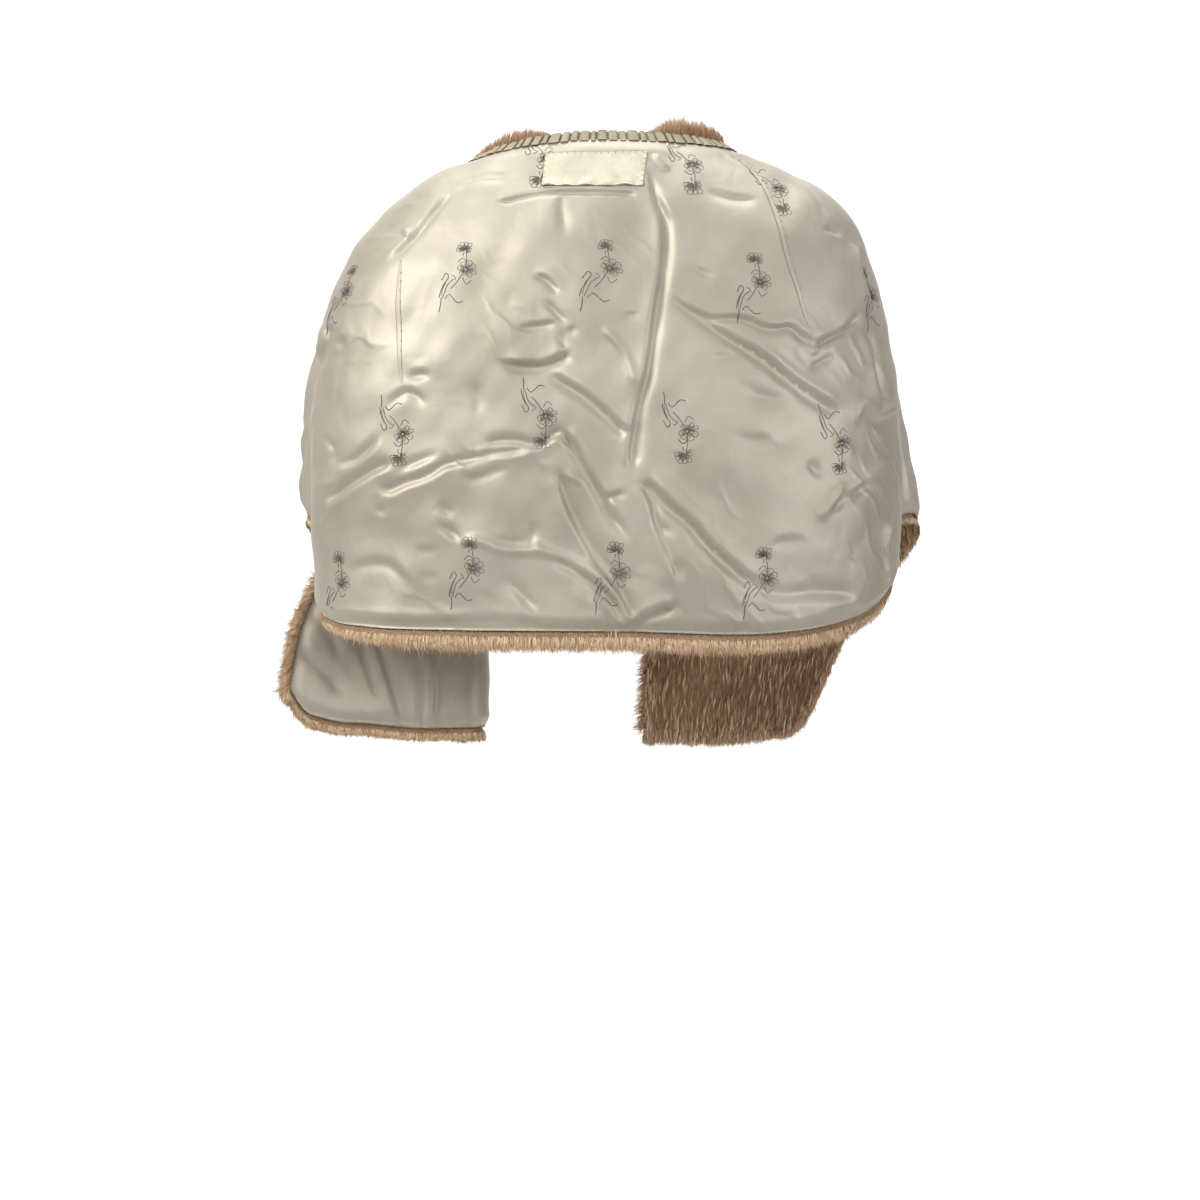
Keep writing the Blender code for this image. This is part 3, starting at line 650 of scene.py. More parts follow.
@dataclass
class Panel:
    """A piece of cloth as a grid over a form.

    Places on it are given by fractions of its columns and rows, so that whatever lies
    on it can be made from its own points.
    """

    form: Form
    across: Array
    down: Array
    flip: int = 1
    lift: Array = field(init=False)
    points: Array = field(init=False)
    normals: Array = field(init=False)

    def __post_init__(self) -> None:
        """Works out the bare form and its normals."""
        across, down = np.meshgrid(self.across, self.down)
        self.points = self.form(across, down)
        self.normals = self.flip * outward(self.form, across, down)
        self.lift = np.zeros(across.shape)

    def rim_distance(self) -> tuple[Array, Array, Array]:
        """Distances of every point from the neckline, the hem and the nearer side."""
        top = np.linalg.norm(self.points - self.points[:1], axis=-1)
        hem = np.linalg.norm(self.points - self.points[-1:], axis=-1)
        start = np.linalg.norm(self.points - self.points[:, :1], axis=-1)
        end = np.linalg.norm(self.points - self.points[:, -1:], axis=-1)
        return top, hem, np.minimum(start, end)

    def raised(self, extra: float | Array = 0.0) -> Array:
        """The cloth's own points, moved out by its lift and by this much more."""
        return self.points + self.normals * (self.lift + extra)[..., None]

    @cached_property
    def face_normals(self) -> Array:
        """Normals of the raised cloth, folds and all."""
        surface = self.raised()
        along = np.gradient(surface, axis=1)
        downward = np.gradient(surface, axis=0)
        return self.flip * unit(np.cross(downward, along))

    def index_of(self, across: Array, down: Array) -> tuple[Array, Array]:
        """Fractions of the columns and rows for values of the form's own two."""
        columns = np.interp(across, self.across, np.arange(len(self.across)))
        return columns, np.interp(down, self.down, np.arange(len(self.down)))

    def at(self, column: Array, row: Array, extra: float | Array = 0.0) -> tuple[Array, Array]:
        """Points on the raised cloth and the normals there.

        Args:
            column: fractions of the columns.
            row: fractions of the rows.
            extra: how far above the cloth the points lie.

        Returns:
            Points and unit normals.
        """
        rows, columns = self.points.shape[:2]
        column, row = np.clip(column, 0, columns - 1), np.clip(row, 0, rows - 1)
        between = read_grid(self.points.shape, column, row)
        normals = unit(between(self.face_normals))
        lifted = between(self.raised()) + normals * np.asarray(extra)[..., None]
        return lifted, normals

    def chart(self, column: float, row: float) -> Array:
        """How columns and rows change with a step to the right or up on the cloth.

        Args:
            column: fraction of the columns at the chart's centre.
            row: fraction of the rows there.

        Returns:
            A 2 by 2 matrix from metres right and up to columns and rows.
        """
        rows, columns = self.points.shape[:2]
        c, r = int(np.clip(column, 1, columns - 2)), int(np.clip(row, 1, rows - 2))
        by_column = (self.points[r, c + 1] - self.points[r, c - 1]) / 2
        by_row = (self.points[r + 1, c] - self.points[r - 1, c]) / 2
        normal = self.normals[r, c]
        up = unit(np.array([0, 0, 1.0]) - normal * normal[2])
        right = np.cross(up, normal)
        steps = np.array([[by_column @ right, by_row @ right], [by_column @ up, by_row @ up]])
        return np.linalg.inv(steps)


@dataclass(frozen=True)
class Thread:
    """A thread or a drawn line, as a slim ridge with three sides."""

    width: float
    height: float

    def lay(self, mesh: Joined, points: Array, normals: Array) -> None:
        """Adds one run to a mesh.

        Args:
            mesh: what it is added to.
            points: its line.
            normals: the direction away from the cloth at each point.
        """
        count = len(points)
        along = unit(np.gradient(points, axis=0))
        aside = unit(np.cross(along, normals))
        half, crest = aside * (self.width / 2), normals * self.height
        sections = np.stack([points - half, points + half, points + crest], axis=1)
        start = np.arange(count - 1)[:, None] * 3
        quads = [start + np.array([a, b, b + 3, a + 3]) for a, b in ((0, 1), (1, 2), (2, 0))]
        end = (count - 1) * 3
        caps = np.array([[2, 1, 0], [end, end + 1, end + 2]])
        mesh.add(sections.reshape(-1, 3), (np.concatenate(quads), caps))


# ---------------------------------------------------------------- shaders


@dataclass(frozen=True)
class Flow:
    """A node's output. Arithmetic on it adds Math nodes."""

    nodes: "Nodes"
    socket: bpy.types.NodeSocket

    def math(self, operation: str, *values: "Flow | float") -> "Flow":
        """One Math node on these values."""
        return self.nodes.add(
            "ShaderNodeMath", {"operation": operation}, dict(enumerate(values))
        )

    def __add__(self, other: "Flow | float") -> "Flow":
        """Sum."""
        return self.math("ADD", self, other)

    def __radd__(self, other: "Flow | float") -> "Flow":
        """Sum, with the number first."""
        return self.math("ADD", other, self)

    def __sub__(self, other: "Flow | float") -> "Flow":
        """Difference."""
        return self.math("SUBTRACT", self, other)

    def __rsub__(self, other: "Flow | float") -> "Flow":
        """Difference, with the number first."""
        return self.math("SUBTRACT", other, self)

    def __mul__(self, other: "Flow | float") -> "Flow":
        """Product."""
        return self.math("MULTIPLY", self, other)

    def __rmul__(self, other: "Flow | float") -> "Flow":
        """Product, with the number first."""
        return self.math("MULTIPLY", other, self)

    def __pow__(self, other: "Flow | float") -> "Flow":
        """Power."""
        return self.math("POWER", self, other)

    def sine(self) -> "Flow":
        """Sine of an angle in radians."""
        return self.math("SINE", self)

    def between(self, low: float, high: float) -> "Flow":
        """0 at low and below, 1 at high and above, smooth between."""
        return self.nodes.add(
            "ShaderNodeMapRange",
            {"interpolation_type": "SMOOTHSTEP"},
            {"Value": self, "From Min": low, "From Max": high},
        )


class Nodes:
    """The nodes of one material."""

    def __init__(self, name: str) -> None:
        """Makes the material with its Principled shader."""
        self.material = bpy.data.materials.new(name)
        self.material.use_nodes = True
        self.tree = self.material.node_tree
        self.shader = self.tree.nodes["Principled BSDF"]

    def put(self, socket: bpy.types.NodeSocket, value: "Flow | float | Sequence[float]") -> None:
        """Links or sets one socket.

        Args:
            socket: the input.
            value: a flow to link, or a number, colour or vector to set.
        """
        if isinstance(value, Flow):
            self.tree.links.new(value.socket, socket)
        elif isinstance(value, (int, float)):
            socket.default_value = value
        elif len(socket.default_value) == 4 and len(value) == 3:
            socket.default_value = (*value, 1.0)
        else:
            socket.default_value = tuple(value)

    def add(
        self,
        kind: str,
        settings: dict[str, object] | None = None,
        inputs: "dict[str | int, Flow | float | Sequence[float]] | None" = None,
        output: str = "",
    ) -> Flow:
        """Adds a node.

        Args:
            kind: the node's type.
            settings: its own settings, such as a Math node's operation, set first.
            inputs: values or links by the name or number of a socket.
            output: the output's name, or the first that is in use.

        Returns:
            That output.
        """
        node = self.tree.nodes.new(kind)
        for name, value in (settings or {}).items():
            setattr(node, name, value)
        enabled = [socket for socket in node.inputs if socket.enabled]
        for key, value in (inputs or {}).items():
            found = enabled[key] if isinstance(key, int) else next(
                socket for socket in enabled if socket.name == key
            )
            self.put(found, value)
        outputs = [socket for socket in node.outputs if socket.enabled]
        named = [socket for socket in outputs if socket.name == output]
        return Flow(self, (named or outputs)[0])

    def mix(self, factor: "Flow | float", first: "Flow | Colour",
            second: "Flow | Colour") -> Flow:
        """One colour over another by a factor."""
        inputs = {"Factor": factor, "A": first, "B": second}
        return self.add("ShaderNodeMix", {"data_type": "RGBA"}, inputs)

    def place(self) -> Flow:
        """The place on the piece, in metres."""
        return self.add("ShaderNodeTexCoord", output="Object")

    def apart(self, vector: Flow) -> tuple[Flow, ...]:
        """A vector's three numbers."""
        outputs = self.add("ShaderNodeSeparateXYZ", {}, {"Vector": vector}).socket.node.outputs
        return tuple(Flow(self, outputs[axis]) for axis in "XYZ")

    def noise(self, vector: Flow, scale: float, detail: float = 2.0, roughness: float = 0.5,
              distortion: float = 0.0) -> Flow:
        """Noise at a scale per metre."""
        inputs = {
            "Vector": vector, "Scale": scale, "Detail": detail,
            "Roughness": roughness, "Distortion": distortion,
        }
        return self.add("ShaderNodeTexNoise", {}, inputs, "Fac")

    def stretched(self, vector: Flow, scale: Sequence[float]) -> Flow:
        """The same places, scaled along each axis."""
        return self.add("ShaderNodeMapping", {}, {"Vector": vector, "Scale": tuple(scale)})

    def bump(self, height: Flow, distance: float, under: Flow | None = None) -> Flow:
        """A normal that follows a height, over another where one is given."""
        inputs: dict[str | int, Flow | float] = {
            "Height": height, "Distance": distance, "Strength": 1.0,
        }
        if under is not None:
            inputs["Normal"] = under
        return self.add("ShaderNodeBump", {}, inputs)

    def finish(self, **inputs: "Flow | float | Sequence[float]") -> bpy.types.Material:
        """Feeds the shader, with a socket's spaces as underscores.

        Args:
            **inputs: values or links for the shader's sockets.

        Returns:
            The material.
        """
        for name, value in inputs.items():
            self.put(self.shader.inputs[name.replace("_", " ")], value)
        return self.material


@dataclass(frozen=True)
class SatinFinish:
    """Aged lining satin: soft gloss, fine weave, slight stains and small puckers."""

    name: str
    light: Colour = (0.615, 0.563, 0.464)
    deep: Colour = (0.500, 0.452, 0.360)
    stain: Colour = (0.480, 0.400, 0.285)
    metallic: float = 0.35
    roughness: float = 0.44
    weave_turns: float = 9000.0
    pucker: float = 0.0007
    crumple: float = 0.0009
    hang: float = 0.0038

    def material(self) -> bpy.types.Material:
        """Builds the material.

        Returns:
            The material.
        """
        nodes = Nodes(self.name)
        place = nodes.place()
        x, y, z = nodes.apart(place)
        cloud = nodes.noise(place, 9.0, 3.0)
        blotch = nodes.noise(place, 26.0, 4.0, 0.6, 0.4)
        slub = nodes.noise(nodes.stretched(place, (1600, 1600, 90)), 1.0, 2.0)
        tone = nodes.mix(cloud.between(0.30, 0.72), self.light, self.deep)
        tone = nodes.mix(0.10 * slub.between(0.35, 0.75), tone, self.deep)
        tone = nodes.mix(0.30 * blotch.between(0.60, 0.80), tone, self.stain)
        small = nodes.noise(place, 38.0, 3.0, 0.45, 0.8)
        fine = nodes.noise(nodes.stretched(place, (1.0, 1.0, 0.6)), 150.0, 2.0, 0.5, 0.4)
        weave = ((x + y) * self.weave_turns).sine() * (z * self.weave_turns).sine()
        height = small + 0.08 * fine + 0.010 * weave + 0.04 * slub
        normal = nodes.bump(height, self.pucker)
        broad = nodes.noise(nodes.stretched(place, (1.0, 1.0, 0.55)), 13.0, 2.0, 0.5, 0.7)
        normal = nodes.bump(broad, self.hang, normal)
        bands = nodes.add(
            "ShaderNodeTexWave",
            {"wave_type": "BANDS", "bands_direction": "DIAGONAL"},
            {"Vector": place, "Scale": 17.0, "Distortion": 7.0, "Detail": 2.0, "Detail Scale": 1.2},
            "Fac",
        )
        where = nodes.noise(place, 10.0, 1.0).between(0.50, 0.68)
        normal = nodes.bump(bands ** 2.5 * where, self.crumple, normal)
        rough = self.roughness + 0.10 * blotch + 0.05 * slub
        return nodes.finish(
            Base_Color=tone, Roughness=rough, Normal=normal, Metallic=self.metallic,
            Sheen_Weight=0.12, Sheen_Roughness=0.35, Sheen_Tint=(1.0, 0.96, 0.88),
        )


@dataclass(frozen=True)
class RibbonFinish:
    """Ribbed silk ribbon, a little greener than the lining."""

    name: str = "ribbon_cloth"
    light: Colour = (0.510, 0.455, 0.320)
    deep: Colour = (0.390, 0.335, 0.215)
    rib_turns: float = 8500.0

    def material(self) -> bpy.types.Material:
        """Builds the material.

        Returns:
            The material.
        """
        nodes = Nodes(self.name)
        place = nodes.place()
        cloud = nodes.noise(place, 45.0, 3.0)
        rib = (nodes.apart(place)[2] * self.rib_turns).sine()
        grain = nodes.noise(place, 1500.0, 2.0)
        tone = nodes.mix(cloud.between(0.3, 0.75), self.light, self.deep)
        tone = nodes.mix(0.18 * grain, tone, self.deep)
        normal = nodes.bump(0.5 * rib + grain, 0.00012)
        return nodes.finish(
            Base_Color=tone, Roughness=0.50 + 0.12 * cloud, Normal=normal,
            Sheen_Weight=0.2, Sheen_Roughness=0.4,
        )


@dataclass(frozen=True)
class LabelFinish:
    """Bare woven label, cream satin with faint yellowing."""

    name: str = "label_cloth"
    light: Colour = (0.800, 0.745, 0.600)
    deep: Colour = (0.680, 0.610, 0.450)
    rib_turns: float = 11000.0

    def material(self) -> bpy.types.Material:
        """Builds the material.

        Returns:
            The material.
        """
        nodes = Nodes(self.name)
        place = nodes.place()
        cloud = nodes.noise(place, 70.0, 4.0, 0.6, 0.5)
        grain = nodes.noise(nodes.stretched(place, (1800, 1800, 300)), 1.0, 2.0)
        rib = (nodes.apart(place)[2] * self.rib_turns).sine()
        tone = nodes.mix(cloud.between(0.35, 0.80), self.light, self.deep)
        tone = nodes.mix(0.12 * grain, tone, self.deep)
        normal = nodes.bump(cloud + 0.08 * grain + 0.03 * rib, 0.0006)
        return nodes.finish(
            Base_Color=tone, Roughness=0.42 + 0.12 * cloud, Normal=normal,
            Sheen_Weight=0.2, Sheen_Roughness=0.35,
        )


@dataclass(frozen=True)
class ThreadFinish:
    """Twisted thread."""

    name: str
    light: Colour
    deep: Colour
    roughness: float = 0.55

    def material(self) -> bpy.types.Material:
        """Builds the material.

        Returns:
            The material.
        """
        nodes = Nodes(self.name)
        place = nodes.place()
        twist = nodes.noise(place, 2400.0, 1.0)
        fade = nodes.noise(place, 120.0, 2.0)
        tone = nodes.mix(fade.between(0.35, 0.70), self.light, self.deep)
        tone = nodes.mix(0.25 * twist, tone, self.deep)
        normal = nodes.bump(twist, 0.0001)
        return nodes.finish(Base_Color=tone, Roughness=self.roughness + 0.1 * twist, Normal=normal)


@dataclass(frozen=True)
class SkinFinish:
    """The pelt's skin and underfur, seen between the hairs."""

    name: str = "underfur"
    light: Colour = (0.620, 0.430, 0.265)
    deep: Colour = (0.330, 0.200, 0.115)

    def material(self) -> bpy.types.Material:
        """Builds the material.

        Returns:
            The material.
        """
        nodes = Nodes(self.name)
        place = nodes.place()
        strands = nodes.noise(nodes.stretched(place, (900, 900, 110)), 1.0, 3.0, 0.6, 0.6)
        cloud = nodes.noise(place, 40.0, 3.0)
        tone = nodes.mix(strands.between(0.30, 0.75), self.deep, self.light)
        tone = nodes.mix(0.5 * cloud.between(0.4, 0.8), tone, self.deep)
        normal = nodes.bump(strands, 0.0022)
        return nodes.finish(Base_Color=tone, Roughness=0.80 + 0.1 * strands, Normal=normal)


@dataclass(frozen=True)
class HairFinish:
    """Mink hair by its marks: tone class across, root to tip along."""

    name: str
    root: Colour = (0.380, 0.230, 0.125)
    pale: Colour = (0.880, 0.660, 0.430)
    brown: Colour = (0.360, 0.205, 0.105)
    tip: Colour = (0.780, 0.600, 0.420)

    def material(self) -> bpy.types.Material:
        """Builds the material.

        Returns:
            The material.
        """
        nodes = Nodes(self.name)
        mark = nodes.add("ShaderNodeUVMap", {"uv_map": "OFBake"})
        tone, along, _ = nodes.apart(mark)
        shaft = nodes.mix(tone.between(0.35, 0.85), self.pale, self.brown)
        foot = nodes.mix(tone.between(0.30, 0.70), self.pale, self.root)
        colour = nodes.mix(along.between(0.02, 0.45), foot, shaft)
        frosted = along.between(0.62, 1.0) * (1 - tone.between(0.30, 0.75))
        colour = nodes.mix(frosted, colour, self.tip)
        return nodes.finish(
            Base_Color=colour, Roughness=0.46 + 0.12 * tone, Specular_IOR_Level=0.4,
        )


@dataclass(frozen=True)
class PlasterFinish:
    """The studio's pale sweep."""

    name: str = "studio_sweep"
    colour: Colour = (0.80, 0.80, 0.80)
    deep: Colour = (0.76, 0.76, 0.76)

    def material(self) -> bpy.types.Material:
        """Builds the material.

        Returns:
            The material.
        """
        nodes = Nodes(self.name)
        grain = nodes.noise(nodes.place(), 3.0, 2.0)
        tone = nodes.mix(0.05 * grain, self.colour, self.deep)
        return nodes.finish(Base_Color=tone, Roughness=0.9)


def dress(piece: bpy.types.Object, material: bpy.types.Material, slot: Slot | None,
          *nodes: str) -> bpy.types.Object:
    """Gives a piece its material and its place on the frame.

    Args:
        piece: the piece.
        material: its finish.
        slot: the record's slot of the piece, if any; not used.
        *nodes: CAD nodes that it stands for.

    Returns:
        The piece.
    """
    piece.data.materials.append(material)
    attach(piece, BODY)
    if nodes:
        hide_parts(*nodes)
    triangles = sum(len(face.vertices) - 2 for face in piece.data.polygons)
    LOG.info("%s: %d triangles", piece.name, triangles)
    return piece


# ---------------------------------------------------------------- creases


def curve_points(line: Array, spacing: float) -> Array:
    """The same line with points at an even spacing."""
    run = running_length(line)
    count = max(2, math.ceil(run[-1] / spacing) + 1)
    return read_along(line, run, np.linspace(0, run[-1], count))


def curve_through(places: Sequence[Sequence[float]], spacing: float) -> Array:
    """Draws a smooth curve through some places.

    Args:
        places: the places, in order.
        spacing: the distance between its points.

    Returns:
        The curve's points, evenly spaced.
    """
    knots = np.array(places, float)
    run = running_length(knots)
    fine = np.linspace(0, run[-1], max(8, int(run[-1] / spacing) * 2))
    line = smooth_between(run, knots, fine)
    length = running_length(line)
    count = max(3, int(length[-1] / spacing) + 1)
    return read_along(line, length, np.linspace(0, length[-1], count))


@dataclass(frozen=True)
class Crease:
    """One soft trough, or a ridge where its depth is negative.

    Its line is seen from behind, as X and drop in millimetres, and so are its depth
    and width. A positive lip raises the cloth on the right-hand side of the line as it
    runs, a negative one on the left-hand side. What lies across the line is given as
    shares of its breadth: the trough's sides, the lip's first, and the crest's place and
    sides, the far one first.
    """

    line: tuple[tuple[float, float], ...]
    depth: float
    width: float
    lip: float = 0.35
    tapers: tuple[float, float] = (0.0, 0.0)
    deepened: float = 1.65
    crest: float = 0.66
    narrowed: float = 0.84
    least_width: float = 2.6
    trough_sides: tuple[float, float] = (0.60, 1.25)
    trough_power: float = 1.5
    crest_place: float = 1.35
    crest_sides: tuple[float, float] = (2.2, 0.75)
    crest_power: float = 1.4
    end_share: float = 0.38
    waver: float = 0.16
    waver_run: float = 11.0
    reach: float = 4.0
    spacing: float = 2.5

    def beside(self, curve: Array, place: Array) -> tuple[Array, Array]:
        """Finds where places lie against the crease.

        Args:
            curve: the points of its line.
            place: the places.

        Returns:
            Distances from the line, positive on the lip's side, and shares along it.
        """
        start, step = curve[:-1], np.diff(curve, axis=0)
        size = (step**2).sum(-1)
        apart = place[:, None] - start[None]
        share = np.clip((apart * step).sum(-1) / size, 0, 1)
        offset = apart - share[..., None] * step
        distance = np.linalg.norm(offset, axis=-1)
        best = distance.argmin(axis=1)
        pick = np.arange(len(place))
        heading = step[best]
        turned = heading[:, 0] * offset[pick, best, 1] - heading[:, 1] * offset[pick, best, 0]
        aside = distance[pick, best] * np.where(turned >= 0, 1, -1) * np.sign(self.lip or 1)
        return aside, (best + share[pick, best]) / len(step)

    def relief(self, x: Array, drop: Array) -> Array:
        """Works out the crease's relief, all in millimetres.

        Args:
            x: X of the places.
            drop: how far below the origin they are.

        Returns:
            How far the cloth moves out at each.
        """
        curve = curve_through(self.line, self.spacing)
        breadth = max(self.narrowed * self.width, min(self.width, self.least_width))
        margin = self.reach * breadth
        low, high = curve.min(0) - margin, curve.max(0) + margin
        near = (x > low[0]) & (x < high[0]) & (drop > low[1]) & (drop < high[1])
        relief = np.zeros(x.shape)
        if not near.any():
            return relief
        aside, share = self.beside(curve, np.stack([x[near], drop[near]], axis=-1))
        whole = running_length(curve)[-1]
        along = share * whole
        first, last = (end or self.end_share * whole for end in self.tapers)
        taper = smoothstep(along / first) * smoothstep((whole - along) / last)
        taper = taper * (1 + self.waver * np.sin(along / self.waver_run + whole))
        side = np.where(aside > 0, *self.trough_sides) * breadth
        trough = np.exp(-(np.abs(aside / side) ** self.trough_power))
        from_crest = aside - self.crest_place * breadth
        side = np.where(from_crest > 0, *self.crest_sides) * breadth
        ridge = np.exp(-(np.abs(from_crest / side) ** self.crest_power))
        lipped = self.crest * abs(self.lip) * ridge - trough
        relief[near] = self.deepened * self.depth * taper * lipped
        return relief


@dataclass(frozen=True)
class Swell:
    """One long soft wave of the loose cloth."""

    height: float
    length: float
    heading: float
    phase: float
    bend: float = 14.0
    bend_run: float = 61.0

    def relief(self, x: Array, drop: Array) -> Array:
        """How far the cloth moves out at places, all in millimetres."""
        turn = math.radians(self.heading)
        bent = x + self.bend * np.sin(drop / self.bend_run + self.phase)
        run = bent * math.cos(turn) + drop * math.sin(turn)
        return self.height * np.sin(2 * math.pi * run / self.length + self.phase)


def charted(*rows: tuple) -> tuple[Crease, ...]:
    """Creases from rows of line, depth, width, and lip and tapers where they have them."""
    return tuple(Crease(*row) for row in rows)


